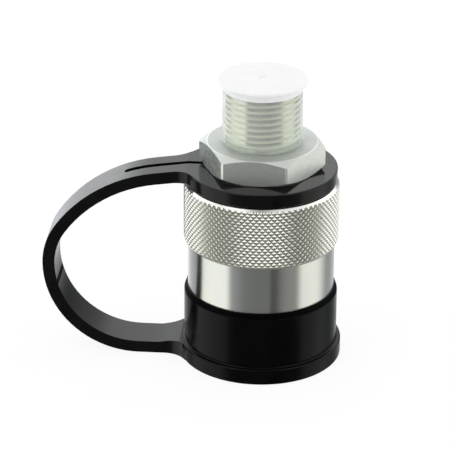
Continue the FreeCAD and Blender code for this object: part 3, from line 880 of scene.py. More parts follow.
class Finishes:
    """The finishes of the whole coupler."""

    def __init__(self) -> None:
        """Builds the shared effects and every material."""
        effects = Effects()
        self.black_rubber = Moulding(
            "moulded_black_rubber",
            (0.0025, 0.0025, 0.0025, 1),
            (0.004, 0.004, 0.004, 1),
            0.13,
            0.21,
            refraction=1.34,
            sheen=0.06,
        ).make(effects)
        # A darker, less glossy copy of the strap's rubber for the cup and its flange.
        self.cup_rubber = Moulding(
            "darker_less_glossy_black_rubber",
            (0.0012, 0.0012, 0.0012, 1),
            (0.002, 0.002, 0.002, 1),
            0.18,
            0.26,
            refraction=1.22,
        ).make(effects)
        # A near-black, hardly reflecting copy of the rubber for the cup's lip: a painted dark reflection, standing
        # in for the dark room that the lip mirrors.
        self.lip_rubber_painted_dark = Moulding(
            "black_rubber_painted_dark_reflection",
            (0.0005, 0.0005, 0.0005, 1),
            (0.001, 0.001, 0.001, 1),
            0.5,
            0.6,
            refraction=1.1,
        ).make(effects)
        self.turned_zinc = Steel(
            "turned_bright_zinc",
            (0.84, 0.84, 0.77, 1),
            (0.80, 0.82, 0.79, 1),
            0.18,
            0.23,
            Lay.TURNED,
            stretch=1.0,
        ).make(effects)
        self.drawn_zinc = Steel(
            "drawn_bar_zinc",
            (0.96, 0.97, 0.91, 1),
            (0.90, 0.92, 0.87, 1),
            0.42,
            0.54,
            Lay.PLAIN,
            mark_width=0.2 * MM,
            mark_depth=0.006 * MM,
            patch_width=1.5 * MM,
        ).make(effects)
        # Mottled zinc, darkened overall as a painted reflection of the black strap, for the hexagon's flat that
        # faces it.
        self.mottled_zinc_painted_reflection = Steel(
            "mottled_bar_zinc_painted_reflection",
            (0.68, 0.72, 0.69, 1),
            (0.34, 0.37, 0.35, 1),
            0.36,
            0.5,
            Lay.PLAIN,
            mark_width=0.2 * MM,
            mark_depth=0.008 * MM,
            patch_width=0.9 * MM,
        ).make(effects)
        # A darker, rougher copy of the zinc for the hexagon's top face; its darker tone is painted shade that
        # tones down the strong back light there.
        self.faced_zinc_painted_shade = Steel(
            "faced_top_zinc_painted_shade", (0.64, 0.66, 0.64, 1), (0.58, 0.60, 0.58, 1), 0.60, 0.7, Lay.PLAIN
        ).make(effects)
        # A darker, very rough copy of the zinc for the cone that bevels the hexagon's corners; its darker tone is
        # painted shade.
        self.bevelled_zinc_painted_shade = Steel(
            "bevelled_zinc_painted_shade", (0.78, 0.80, 0.77, 1), (0.73, 0.75, 0.72, 1), 0.78, 0.86, Lay.PLAIN
        ).make(effects)
        self.threaded_zinc = Steel(
            "threaded_yellowish_zinc", (0.86, 0.87, 0.78, 1), (0.82, 0.84, 0.76, 1), 0.12, 0.22, Lay.TURNED
        ).make(effects)
        self.flank_zinc = Steel(
            "thread_flank_zinc", (0.97, 0.98, 0.90, 1), (0.95, 0.96, 0.88, 1), 0.60, 0.70, Lay.TURNED
        ).make(effects)
        # Knurled zinc, darker in the grooves as painted shade and paler on the tips as painted highlight.
        self.knurled_zinc = KnurledSteel(
            "knurled_zinc", (0.50, 0.50, 0.43, 1), (0.93, 0.93, 0.86, 1), 18.62 * MM, 19.0 * MM
        ).make(effects)
        self.valve_steel = Steel(
            "turned_bare_steel", (0.60, 0.60, 0.60, 1), (0.55, 0.55, 0.56, 1), 0.2, 0.3, Lay.TURNED
        ).make(effects)
        self.spring_steel = Steel(
            "drawn_spring_wire", (0.50, 0.50, 0.50, 1), (0.44, 0.44, 0.45, 1), 0.25, 0.35, Lay.PLAIN
        ).make(effects)
        self.seal_rubber = Moulding(
            "smooth_seal_rubber", (0.02, 0.02, 0.02, 1), (0.03, 0.03, 0.03, 1), 0.3, 0.4
        ).make(effects)
        self.white_polymer = Moulding(
            "machined_white_plastic", (0.84, 0.84, 0.81, 1), (0.80, 0.80, 0.76, 1), 0.4, 0.5
        ).make(effects)
        self.milky_plastic = Polyethylene(
            "milky_polyethylene", (0.79, 0.79, 0.78, 1), (0.82, 0.82, 0.81, 1), 0.0, 0.5, 1.25
        ).make(effects)
        # Paler polyethylene as painted light, for the disc's rim and for the skirt's band under the disc, over the
        # disc's shadow.
        self.rim_plastic_painted_light = Polyethylene(
            "rim_polyethylene_painted_light", (0.93, 0.93, 0.92, 1), (0.94, 0.94, 0.93, 1), 0.0, 0.5, 1.25
        ).make(effects)
        self.hazy_plastic = Polyethylene(
            "hazy_polyethylene", (0.96, 0.98, 0.95, 1), (0.97, 0.99, 0.96, 1), 0.87, 0.03, 1.08
        ).make(effects)


@dataclass
class CouplingSleeve:
    """The one-piece turning sleeve: a plain front, a knurled grip and a coupling thread inside."""

    name: str = "knurled_coupling_sleeve"
    front_radius: float = 18.0 * MM
    mouth_bevel: float = 0.8 * MM
    grip_start: float = 30.25 * MM
    grip_bevel: float = 1.05 * MM
    grip_margin: float = 0.3 * MM
    end_bevel: float = 0.8 * MM
    bevel_round: float = 0.08 * MM
    end_round: float = 0.12 * MM
    room_radius: float = 15.3 * MM
    room_floor: float = 41.5 * MM
    bearing_radius: float = 13.28 * MM
    thrust_face: float = 35.3 * MM
    relief_radius: float = 15.52 * MM
    relief_start: float = 21.1 * MM
    thread_radius: float = 14.92 * MM
    thread_depth: float = 0.87 * MM
    thread_pitch: float = 2.0 * MM
    thread_end: float = 20.5 * MM
    entry_radius: float = 16.12 * MM
    teeth_around: int = 82
    tooth_pitch: float = 1.5 * MM
    tooth_height: float = 0.5 * MM
    tooth_overlap: float = 0.12 * MM
    rows: int = 12
    tool_wall: float = 1.0 * MM
    outline_steps: int = 246
    foot: float = field(init=False)
    head: float = field(init=False)
    grip_radius: float = field(init=False)

    def __post_init__(self) -> None:
        """Takes the overall sizes from the frame."""
        low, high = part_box("coupling_sleeve")
        self.foot, self.head, self.grip_radius = low.z, high.z, high.x

    def build(self, finishes: Finishes) -> None:
        """Models the sleeve and puts it in its place.

        Args:
            finishes: The coupler's materials.
        """
        sleeve = Workpiece.turned(self.name, self._outline(), self.outline_steps)
        sleeve.shape_with(self._thread_tool(), Cut.TAKE_AWAY)
        sleeve.shape_with(self._knurling_tool(), Cut.TAKE_AWAY)
        sleeve.shade(SHARP_ON_METAL)
        sleeve.dress(finishes.turned_zinc, finishes.knurled_zinc)
        sleeve.dress_where(1, self._is_knurled)
        sleeve.seat("sleeve", "plated_steel", "coupling_sleeve")

    def _outline(self) -> list[Corner]:
        """The sleeve's outline from its mouth up the outside and back down the bore.

        Returns:
            The corners in order.
        """
        thread_run = self.relief_radius - self.thread_radius
        return [
            Corner(self.front_radius - self.mouth_bevel, self.foot),
            Corner(self.front_radius, self.foot + self.mouth_bevel),
            Corner(self.front_radius, self.grip_start),
            Corner(self.grip_radius, self.grip_start + self.grip_bevel),
            Corner(self.grip_radius, self.head - self.end_bevel, self.bevel_round),
            Corner(self.grip_radius - self.end_bevel, self.head, self.end_round),
            Corner(self.room_radius, self.head),
            Corner(self.room_radius, self.room_floor),
            Corner(self.bearing_radius, self.room_floor),
            Corner(self.bearing_radius, self.thrust_face),
            Corner(self.relief_radius, self.thrust_face),
            Corner(self.relief_radius, self.relief_start),
            Corner(self.thread_radius, self.relief_start - thread_run),
            Corner(self.thread_radius, self.foot + self.entry_radius - self.thread_radius),
            Corner(self.entry_radius, self.foot),
        ]

    def _knurling_tool(self) -> Workpiece:
        """What the knurling rolls press away: a tube whose inner wall is a field of pyramids.

        Returns:
            The tube.
        """
        tooth_width = FULL_TURN * self.grip_radius / self.teeth_around
        bpy.ops.mesh.primitive_cone_add(
            vertices=4,
            radius1=tooth_width / 2,
            radius2=0.0,
            depth=self.tooth_height,
            end_fill_type="NOTHING",
            rotation=(math.pi / 2, 0, 0),
        )
        tool = Workpiece("knurling_tool")
        lift = self.tooth_overlap - self.tooth_height / 2
        with tool.editing():
            select_all()
            bpy.ops.transform.resize(value=(1, 1, self.tooth_pitch / tooth_width))
            bpy.ops.transform.translate(value=(0, -lift, self.grip_start))
            bpy.ops.mesh.duplicate_move(
                TRANSFORM_OT_translate={"value": (tooth_width / 2, 0, self.tooth_pitch / 2)}
            )
        tool.repeat(self.teeth_around, Vector((tooth_width, 0, 0)))
        tool.repeat(self.rows, Vector((0, 0, self.tooth_pitch)))
        # The shifted teeth make the field half a tooth wider than the turn that it closes.
        field_share = (self.teeth_around + 0.5) / self.teeth_around
        tool.modify("SIMPLE_DEFORM", deform_method="BEND", deform_axis="Z", angle=FULL_TURN * field_share)
        growth = (self.grip_radius + self.tool_wall) / self.grip_radius
        with tool.editing():
            select_all()
            bpy.ops.transform.translate(value=(0, -self.grip_radius, 0))
            bpy.ops.mesh.remove_doubles(threshold=5 * MERGE_DISTANCE)
            bpy.ops.mesh.select_mode(type=Element.EDGE.value)
            bpy.ops.mesh.select_all(action="DESELECT")
            bpy.ops.mesh.select_non_manifold()
            bpy.ops.mesh.extrude_edges_move()
            bpy.ops.transform.resize(value=(growth, growth, 1))
            bpy.ops.mesh.bridge_edge_loops()
            select_all()
            bpy.ops.mesh.normals_make_consistent(inside=False)
        return tool

    def _thread_tool(self) -> Workpiece:
        """What the inner coupling thread's tool cuts away.

        Returns:
            The thread's helical ridge.
        """
        turns = round((self.thread_end - self.foot) / self.thread_pitch) + 1
        return helix_cutter(
            "coupling_thread_tool",
            self.thread_radius + self.thread_depth,
            self.thread_radius,
            self.thread_pitch,
            self.foot - self.thread_pitch / 2,
            turns,
        )

    def _is_knurled(self, middle: Vector) -> bool:
        """Whether a face with that middle belongs to the knurled grip."""
        below_end_bevel = middle.z < self.head - self.end_bevel
        return off_axis(middle) > self.front_radius + self.grip_margin and below_end_bevel


@dataclass
class RearAdapter:
    """The one-piece adapter, turned from hexagon bar, with the threaded stud above its hexagon."""

    name: str = "hexagon_rear_adapter"
    hex_across: float = 27.0 * MM
    hex_turn: float = 55.5
    hex_foot: float = 49.9 * MM
    hex_top: float = 56.3 * MM
    hex_edge_round: float = 0.38 * MM
    hex_foot_round: float = 0.1 * MM
    hex_top_round: float = 0.15 * MM
    collar_spare: float = 0.6 * MM
    bevel_radius: float = 13.35 * MM
    bevel_angle: float = 30.0
    bevel_margin: float = 0.05 * MM
    pilot_radius: float = 10.0 * MM
    pilot_top: float = 42.9 * MM
    groove_radius: float = 8.9 * MM
    groove_foot: float = 40.0 * MM
    groove_top: float = 41.8 * MM
    shank_radius: float = 11.0 * MM
    shank_top: float = 48.9 * MM
    shank_undercut: float = 9.9 * MM
    chamber_radius: float = 7.3 * MM
    chamber_top: float = 48.9 * MM
    cone_radius: float = 6.4 * MM
    bore_radius: float = 5.0 * MM
    stud_radius: float = 9.0 * MM
    stud_bevel: float = 0.9 * MM
    undercut_radius: float = 8.1 * MM
    undercut_length: float = 0.6 * MM
    tube_radius: float = 6.0 * MM
    tube_floor: float = 64.4 * MM
    mouth_radius: float = 7.0 * MM
    mouth_depth: float = 4.7 * MM
    mouth_round: float = 0.1 * MM
    thread_pitch: float = 1.5 * MM
    thread_depth: float = 0.65 * MM
    flank_margin: float = 0.1 * MM
    outline_steps: int = 240
    foot: float = field(init=False)
    head: float = field(init=False)

    def __post_init__(self) -> None:
        """Takes the overall sizes from the frame."""
        low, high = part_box("rear_adapter")
        self.foot, self.head = low.z, high.z

    def build(self, finishes: Finishes) -> None:
        """Models the adapter and puts it in its place.

        Args:
            finishes: The coupler's materials.
        """
        adapter = Workpiece.turned(self.name, self._outline(), self.outline_steps)
        adapter.shape_with(self._hexagon_bar(), Cut.KEEP_INSIDE)
        adapter.shape_with(self._thread_tool(), Cut.TAKE_AWAY)
        adapter.shade(SHARP_ON_METAL)
        adapter.dress(
            finishes.turned_zinc,
            finishes.drawn_zinc,
            finishes.threaded_zinc,
            finishes.faced_zinc_painted_shade,
            finishes.flank_zinc,
            finishes.mottled_zinc_painted_reflection,
            finishes.bevelled_zinc_painted_shade,
        )
        adapter.dress_where(1, self._is_bar)
        adapter.dress_where(2, self._is_thread)
        # The hexagon's top face: darker zinc as painted shade.
        adapter.dress_where(3, lambda middle: abs(middle.z - self.hex_top) < NEAR)
        adapter.dress_where(4, self._is_flank)
        # The flat that faces the strap: darker zinc as a painted reflection of the black strap.
        adapter.dress_where(5, self._is_flat_with_painted_reflection)
        # The bevels on the hexagon's corners: darker zinc as painted shade.
        adapter.dress_where(6, self._is_bevel)
        adapter.seat("coupler", "plated_steel", "rear_adapter")

    def _outline(self) -> list[Corner]:
        """The adapter's outline, with a full round collar where the hexagon will be.

        Returns:
            The corners in order.
        """
        collar_radius = self.hex_across / math.sqrt(3) + self.collar_spare
        rise = (collar_radius - self.bevel_radius) * math.tan(math.radians(self.bevel_angle))
        undercut_top = self.hex_top + self.undercut_length
        undercut_depth = self.stud_radius - self.undercut_radius
        return [
            Corner(self.chamber_radius, self.foot),
            Corner(self.pilot_radius, self.foot),
            Corner(self.pilot_radius, self.groove_foot),
            Corner(self.groove_radius, self.groove_foot),
            Corner(self.groove_radius, self.groove_top),
            Corner(self.pilot_radius, self.groove_top),
            Corner(self.pilot_radius, self.pilot_top),
            Corner(self.shank_radius, self.pilot_top),
            Corner(self.shank_radius, self.shank_top),
            Corner(self.shank_undercut, self.shank_top),
            Corner(self.shank_undercut, self.hex_foot),
            Corner(self.bevel_radius, self.hex_foot, self.hex_foot_round),
            Corner(collar_radius, self.hex_foot + rise),
            Corner(collar_radius, self.hex_top - rise),
            Corner(self.bevel_radius, self.hex_top, self.hex_top_round),
            Corner(self.undercut_radius, self.hex_top),
            Corner(self.undercut_radius, undercut_top),
            Corner(self.stud_radius, undercut_top + undercut_depth),
            Corner(self.stud_radius, self.head - self.stud_bevel),
            Corner(self.stud_radius - self.stud_bevel, self.head, self.mouth_round),
            Corner(self.mouth_radius, self.head, self.mouth_round),
            Corner(self.tube_radius, self.head - self.mouth_depth),
            Corner(self.tube_radius, self.tube_floor),
            Corner(self.bore_radius, self.tube_floor),
            Corner(self.bore_radius, self.chamber_top + self.cone_radius - self.bore_radius),
            Corner(self.cone_radius, self.chamber_top),
            Corner(self.chamber_radius, self.chamber_top),
        ]

    def _hexagon_bar(self) -> Workpiece:
        """The drawn hexagon bar that the adapter is turned from, with its long edges rounded.

        Returns:
            The bar.
        """
        bar_length = 2 * (self.head - self.foot)
        first_corner = math.radians(self.hex_turn) - math.pi / 2
        bpy.ops.mesh.primitive_cylinder_add(
            vertices=6,
            radius=self.hex_across / math.sqrt(3),
            depth=bar_length,
            location=(0, 0, self.hex_foot),
            rotation=(0, 0, first_corner),
        )
        bar = Workpiece("hexagon_bar")
        with bar.editing():
            bar.pick(Element.EDGE, lambda middle: abs(middle.z - self.hex_foot) < bar_length / 4)
            bpy.ops.mesh.bevel(offset=self.hex_edge_round, segments=1, affect="EDGES")
        return bar

    def _thread_tool(self) -> Workpiece:
        """What the stud's thread tool cuts away.

        Returns:
            The thread's helical ridge.
        """
        start = self.hex_top + self.undercut_length
        turns = round((self.head - start) / self.thread_pitch) + 1
        return helix_cutter(
            "stud_thread_tool",
            self.stud_radius - self.thread_depth,
            self.stud_radius,
            self.thread_pitch,
            start,
            turns,
        )

    def _is_bar(self, middle: Vector) -> bool:
        """Whether a face with that middle is one of the hexagon's flats or long edges."""
        half_way_up = abs(middle.z - (self.hex_foot + self.hex_top) / 2) < 1.0 * MM
        return half_way_up and off_axis(middle) > self.bevel_radius

    def _is_bevel(self, middle: Vector) -> bool:
        """Whether a face with that middle is on the cone that bevels the hexagon's corners."""
        on_cone = off_axis(middle) > self.bevel_radius + self.bevel_margin
        return on_cone and self.hex_foot < middle.z < self.hex_top and not self._is_bar(middle)

    def _is_flat_with_painted_reflection(self, middle: Vector) -> bool:
        """Whether a face with that middle is the hexagon's flat that looks towards the strap, whose mottled zinc
        is darkened as a painted reflection of the black strap.

        Args:
            middle: The face's middle.

        Returns:
            True where it is.
        """
        bearing = math.radians(self.hex_turn + 30 + 2 * 60)
        reach = middle.x * math.cos(bearing) + middle.y * math.sin(bearing)
        return self._is_bar(middle) and reach > self.hex_across / 2 - 2 * NEAR

    def _is_flank(self, middle: Vector) -> bool:
        """Whether a face with that middle is on the side of one of the stud's thread turns.

        Args:
            middle: The face's middle.

        Returns:
            True where it is.
        """
        depth = self.stud_radius - off_axis(middle)
        between = self.flank_margin < depth < self.thread_depth - self.flank_margin
        above_undercut = middle.z > self.hex_top + self.undercut_length
        return between and above_undercut and middle.z < self.head - self.stud_bevel

    def _is_thread(self, middle: Vector) -> bool:
        """Whether a face with that middle belongs to the stud's thread."""
        outside = off_axis(middle) > self.undercut_radius - self.flank_margin
        return outside and middle.z > self.hex_top + self.flank_margin


@dataclass
class ThreadProtector:
    """The push-on polyethylene cap over the stud: a thin tapering skirt under a flat disc."""

    name: str = "polyethylene_thread_protector"
    skirt_inside: float = 9.12 * MM
    skirt_top_radius: float = 9.55 * MM
    skirt_foot_radius: float = 9.75 * MM
    disc_thickness: float = 0.8 * MM
    disc_edge_round: float = 0.3 * MM
    rim_margin: float = 0.05 * MM
    skirt_edge_round: float = 0.2 * MM
    shoulder_height: float = 1.75 * MM
    gate_radius: float = 1.1 * MM
    gate_depth: float = 0.15 * MM
    gate_round: float = 0.08 * MM
    corner_round: float = 0.1 * MM
    outline_steps: int = 160
    foot: float = field(init=False)
    head: float = field(init=False)
    disc_radius: float = field(init=False)

    def __post_init__(self) -> None:
        """Takes the overall sizes from the frame."""
        low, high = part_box("thread_protector")
        self.foot, self.head, self.disc_radius = low.z, high.z, high.x

    def build(self, finishes: Finishes) -> None:
        """Models the protector and puts it in its place.

        Args:
            finishes: The coupler's materials.
        """
        protector = Workpiece.turned(self.name, self._outline(), self.outline_steps)
        protector.shade(SHARP_ON_MOULDINGS)
        protector.dress(finishes.hazy_plastic, finishes.milky_plastic, finishes.rim_plastic_painted_light)
        disc_underside = self.head - self.disc_thickness - NEAR
        protector.dress_where(1, lambda middle: middle.z > disc_underside)
        # The rim and the band under the disc are painted paler: painted light, over the disc's shadow.
        protector.dress_where(2, self._is_painted_light_band)
        protector.seat("protector", "clear_polyethylene", "thread_protector")

    def _is_painted_light_band(self, middle: Vector) -> bool:
        """Whether a face with that middle is on the disc's rim or on the skirt's band just under the disc, which
        get a paler finish as painted light: it brightens the rim's side and covers the shadow under the disc.

        Args:
            middle: The face's middle.

        Returns:
            True where it is.
        """
        radius = off_axis(middle)
        under = self.head - self.disc_thickness
        on_rim = radius > self.disc_radius - self.disc_edge_round and middle.z < self.head - self.rim_margin
        outside = radius > (self.skirt_inside + self.skirt_top_radius) / 2
        return on_rim or (outside and under - self.shoulder_height < middle.z < under)

    def _outline(self) -> list[Corner]:
        """The protector's outline from the disc's middle, with its gate mark, round to its underside.

        Returns:
            The corners in order.
        """
        under = self.head - self.disc_thickness
        shoulder_foot = under - self.shoulder_height
        widening = (self.skirt_foot_radius - self.skirt_top_radius) / (under - self.foot)
        shoulder_radius = self.skirt_top_radius + widening * self.shoulder_height
        return [
            Corner(0.0, self.head - self.gate_depth),
            Corner(self.gate_radius - self.gate_depth, self.head - self.gate_depth, self.gate_round),
            Corner(self.gate_radius, self.head, self.gate_round),
            Corner(self.disc_radius, self.head, self.disc_edge_round),
            Corner(self.disc_radius, under, self.disc_edge_round),
            Corner(self.skirt_top_radius, under, self.corner_round),
            Corner(shoulder_radius, shoulder_foot),
            Corner(self.skirt_foot_radius, self.foot, self.skirt_edge_round),
            Corner(self.skirt_inside, self.foot, self.skirt_edge_round),
            Corner(self.skirt_inside, under),
            Corner(0.0, under),
        ]


@dataclass
class DustCap:
    """The rubber dust cap: cup, base flange, strap loop and neck ring in one moulding.

    The strap is drawn towards +X and the finished cap turned round.
    """

    name: str = "rubber_dust_cap"
    cup_radius: float = 18.9 * MM
    cup_bore: float = 18.12 * MM
    cup_floor: float = 3.2 * MM
    cup_height: float = 18.45 * MM
    lip_inset: float = 0.55 * MM
    lip_height: float = 1.45 * MM
    lip_round: float = 0.15 * MM
    lip_margin: float = 0.1 * MM
    flange_thickness: float = 4.0 * MM
    flange_round: float = 0.35 * MM
    foot_fillet: float = 0.3 * MM
    ring_bore: float = 13.5 * MM
    ring_radius: float = 18.4 * MM
    ring_thickness: float = 3.4 * MM
    strap_width: float = 10.1 * MM
    strap_thickness: float = 3.0 * MM
    crown_radius: float = 17.7 * MM
    crown_angle: float = 35.0
    top_radius: float = 35.8 * MM
    rise_angle: float = 8.0
    root_lift: float = 0.29 * MM
    flare: float = 6.0 * MM
    foot_ramp: float = 5.0 * MM
    slit_root_width: float = 1.4 * MM
    slit_end_width: float = 1.9 * MM
    slit_reach: float = 33.6 * MM
    edge_round: float = 0.3 * MM
    edge_angle: float = 30.0
    reach: float = field(init=False)
    flange_radius: float = field(init=False)
    ring_top: float = field(init=False)
    root: float = field(init=False)
    crown_centre: float = field(init=False)
    top_centre: Vector = field(init=False)
    straight_end: Vector = field(init=False)
    loop_middle: float = field(init=False)

    def __post_init__(self) -> None:
        """Takes the overall sizes from the frame and works out how the loop's arcs join."""
        low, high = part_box("dust_cap")
        self.reach, self.flange_radius, self.ring_top = -low.x, high.x, high.z
        self.root = (self.ring_bore + self.ring_radius) / 2
        turn, rise = math.radians(self.crown_angle), math.radians(self.rise_angle)
        self.crown_centre = self.reach - self.crown_radius
        shift = self.top_radius - self.crown_radius
        across = self.crown_centre - shift * math.cos(turn)
        straight_across = across + self.top_radius * math.sin(rise)
        straight_lift = self.top_radius * math.cos(rise) - shift * math.sin(turn)
        climb = straight_lift + (straight_across - self.root) * math.tan(rise)
        self.loop_middle = self.ring_top + self.root_lift - climb
        self.top_centre = Vector((across, 0, self.loop_middle - shift * math.sin(turn)))
        self.straight_end = Vector((straight_across, 0, self.loop_middle + straight_lift))

    def build(self, finishes: Finishes) -> None:
        """Models the cap and puts it in its place.

        Args:
            finishes: The coupler's materials.
        """
        cap = Workpiece.turned(self.name, self._cup_outline())
        cap.shape_with(self._strap(), Cut.JOIN_ON)
        cap.shape_with(Workpiece.turned("neck_ring", self._ring_outline()), Cut.JOIN_ON)
        cap.shape_with(self._slit_tool(), Cut.TAKE_AWAY)
        with cap.editing():
            select_all()
            bpy.ops.transform.rotate(value=math.pi, orient_axis="Z", center_override=(0, 0, 0))
        cap.shade(SHARP_ON_MOULDINGS)
        cap.dress(finishes.black_rubber, finishes.cup_rubber, finishes.lip_rubber_painted_dark)
        cap.dress_where(1, self._is_cup)
        # The cup's lip: near-black rubber as a painted dark reflection.
        cap.dress_where(2, self._is_lip)
        cap.seat("cap", "black_rubber", "dust_cap")

    def _is_cup(self, middle: Vector) -> bool:
        """Whether a face with that middle is on the cup or its flange."""
        beside = off_axis(middle) < self.flange_radius + NEAR
        return beside and middle.z < self.cup_height + self.lip_margin

    def _is_lip(self, middle: Vector) -> bool:
        """Whether a face with that middle is level with the cup's lip and outside its bore.

        Args:
            middle: The face's middle.

        Returns:
            True where it is.
        """
        outside = off_axis(middle) > self.cup_bore + self.lip_margin
        taper_foot = self.cup_height - self.lip_height + self.lip_round
        return outside and taper_foot < middle.z < self.cup_height + self.lip_margin

    def _cup_outline(self) -> list[Corner]:
        """The outline of the cup and its flange, from the base's middle round to the cup's floor.

        Returns:
            The corners in order.
        """
        return [
            Corner(0.0, 0.0),
            Corner(self.flange_radius, 0.0, self.flange_round),
            Corner(self.flange_radius, self.flange_thickness, self.flange_round),
            Corner(self.cup_radius, self.flange_thickness, self.foot_fillet),
            Corner(self.cup_radius, self.cup_height - self.lip_height, self.lip_round),
            Corner(self.cup_radius - self.lip_inset, self.cup_height, self.lip_round),
            Corner(self.cup_bore, self.cup_height),
            Corner(self.cup_bore, self.cup_floor),
            Corner(0.0, self.cup_floor),
        ]

    def _ring_outline(self) -> list[Corner]:
        """The outline of the ring round the neck.

        Returns:
            The corners in order.
        """
        foot = self.ring_top - self.ring_thickness
        return [
            Corner(self.ring_bore, foot, self.edge_round),
            Corner(self.ring_radius, foot, self.edge_round),
            Corner(self.ring_radius, self.ring_top, self.edge_round),
            Corner(self.ring_bore, self.ring_top, self.edge_round),
        ]

    def _strap(self) -> Workpiece:
        """The strap: a plate with the loop's side outline, trimmed to its width and its two flares.

        Returns:
            The strap.
        """
        half = self.strap_width / 2 + self.flare
        strap = Workpiece.plate(
            "strap", Vector((self.root, half, 0)), self._side_runs(half), Vector((0, -2 * half, 0))
        )
        strap.shape_with(self._flare_tool(self.ring_radius, self.loop_middle), Cut.TAKE_AWAY)
        below = self.loop_middle - self.ring_top
        strap.shape_with(self._flare_tool(self.flange_radius, below), Cut.TAKE_AWAY)
        strap.modify(
            "BEVEL",
            width=self.edge_round,
            segments=Workpiece.ROUND_STEPS,
            limit_method="ANGLE",
            angle_limit=math.radians(self.edge_angle),
        )
        return strap

    def _side_runs(self, depth: float) -> list[Line | Arc]:
        """The strap's side outline: out along the base, round the loop and up to the ring, and back.

        Args:
            depth: The outline's place along Y.

        Returns:
            The runs that follow the strap's lower root.
        """
        thick = self.strap_thickness
        rise = math.tan(math.radians(self.rise_angle))
        shift = Vector((0, depth, 0))
        low_across = self.reach - self.loop_middle
        low_centre = Vector((low_across, depth, self.loop_middle))
        crown_centre = Vector((self.crown_centre, depth, self.loop_middle))
        top_centre = self.top_centre + shift
        top_turn = 90 - self.rise_angle - self.crown_angle
        outward = (self.straight_end - self.top_centre).normalized()
        inner_end = self.straight_end - thick * outward
        trimmed = self.straight_end.x - (self.ring_top - self.straight_end.z) / rise
        inner_root = inner_end.z + (inner_end.x - self.root) * rise
        inside_wall = (self.cup_bore + self.cup_radius) / 2
        return [
            Line(Vector((low_across, depth, 0))),
            Arc(low_centre, 90),
            Arc(crown_centre, self.crown_angle),
            Arc(top_centre, top_turn),
            Line(Vector((trimmed, depth, self.ring_top))),
            Line(Vector((self.root, depth, self.ring_top))),
            Line(Vector((self.root, depth, inner_root))),
            Line(inner_end + shift),
            Arc(top_centre, -top_turn),
            Arc(crown_centre, -self.crown_angle),
            Arc(low_centre, -90),
            Line(Vector((self.flange_radius + self.foot_ramp, depth, thick))),
            Line(Vector((self.flange_radius - self.flange_round, depth, self.flange_thickness))),
            Line(Vector((inside_wall, depth, self.flange_thickness))),
            Line(Vector((inside_wall, depth, thick))),
            Line(Vector((self.root, depth, thick))),
        ]

    def _flare_tool(self, round_edge: float, foot: float) -> Workpiece:
        """What is cut away beside the strap where it widens into a round edge.

        Args:
            round_edge: The radius of the round edge.
            foot: The level at which the cut begins.

        Returns:
            The shapes on both sides of the strap.
        """
        half = self.strap_width / 2
        side = half + self.flare
        centre_reach = round_edge + self.flare
        centre = Vector((math.sqrt(centre_reach**2 - side**2), side, foot))
        bearing = math.degrees(math.atan2(centre.y, centre.x))
        meet_y = centre.y * round_edge / centre_reach
        beyond = self.reach + self.strap_thickness
        outside = side + self.strap_thickness
        tool = Workpiece.plate(
            "flare_tool",
            Vector((beyond, half, foot)),
            [
                Line(Vector((centre.x, half, foot))),
                Arc(centre, bearing - 90),
                Line(Vector((0, meet_y, foot))),
                Line(Vector((0, outside, foot))),
                Line(Vector((beyond, outside, foot))),
            ],
            Vector((0, 0, self.ring_top)),
        )
        tool.modify("MIRROR", use_axis=(False, True, False))
        return tool

    def _slit_tool(self) -> Workpiece:
        """What is cut away for the slit that lets the ring open over the hexagon.

        Returns:
            The slit's shape.
        """
        foot = self.loop_middle
        inside = self.ring_bore - self.edge_round
        end = self.slit_end_width / 2
        root = self.slit_root_width / 2
        end_centre = Vector((self.slit_reach - end, 0, foot))
        return Workpiece.plate(
            "slit_tool",
            Vector((inside, -root, foot)),
            [
                Line(end_centre - Vector((0, end, 0))),
                Arc(end_centre, 180, step_angle=15),
                Line(Vector((inside, root, foot))),
            ],
            Vector((0, 0, self.ring_top)),
        )


@dataclass
class ValveSpring:
    """The coil spring behind the poppet, which in the real coupler shortens as the poppet is pushed in; here it is
    coiled at one length, and the poppet's travel is read but not used.
    """

    name: str = "coiled_valve_spring"
    joint: str = "poppet_slide"
    wire_radius: float = 0.55 * MM
    turns: float = 4.5
    steps_each_turn: int = 48
    foot: float = field(init=False)
    head: float = field(init=False)
    coil_radius: float = field(init=False)
    travel: float = field(init=False)

    def __post_init__(self) -> None:
        """Takes the spring's size and the poppet's travel from the frame."""
        low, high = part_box("valve_spring")
        self.foot, self.head = low.z, high.z
        self.coil_radius = high.x - self.wire_radius
        slide = next(joint for joint in frame["joints"] if joint["name"] == self.joint)
        self.travel = slide["range_m"][1]

    def build(self, finishes: Finishes) -> None:
        """Coils the wire and puts the spring in its place.

        Args:
            finishes: The coupler's materials.
        """
        bpy.ops.mesh.primitive_circle_add(
            vertices=16,
            radius=self.wire_radius,
            location=(self.coil_radius, 0, self.foot + self.wire_radius),
            rotation=(math.pi / 2, 0, 0),
        )
        spring = Workpiece(self.name)
        rise = self.head - self.foot - 2 * self.wire_radius
        spring.coil(rise, round(self.steps_each_turn * self.turns), FULL_TURN * self.turns)
        spring.shade(SHARP_ON_MOULDINGS)
        spring.dress(finishes.spring_steel)
        spring.seat("coupler", "spring_steel", "valve_spring")
        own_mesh(spring.solid)


class InnerParts:
    """The pieces inside the coupler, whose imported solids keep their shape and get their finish."""

    def build(self, finishes: Finishes) -> None:
        """Gives each carried node the finish of its material slot.

        Args:
            finishes: The coupler's materials.
        """
        by_slot = {
            "plated_steel": finishes.turned_zinc,
            "valve_steel": finishes.valve_steel,
            "spring_steel": finishes.spring_steel,
            "seal_rubber": finishes.seal_rubber,
            "white_polymer": finishes.white_polymer,
        }
        for row in frame["record"]["subparts"]:
            node = frame["nodes"][row["node"]]
            if not node.hide_render:
                for holder in node.material_slots:
                    holder.material = by_slot[row["material_slot"]]
                log.info("%s: kept as packed, %s", row["node"], row["material_slot"])


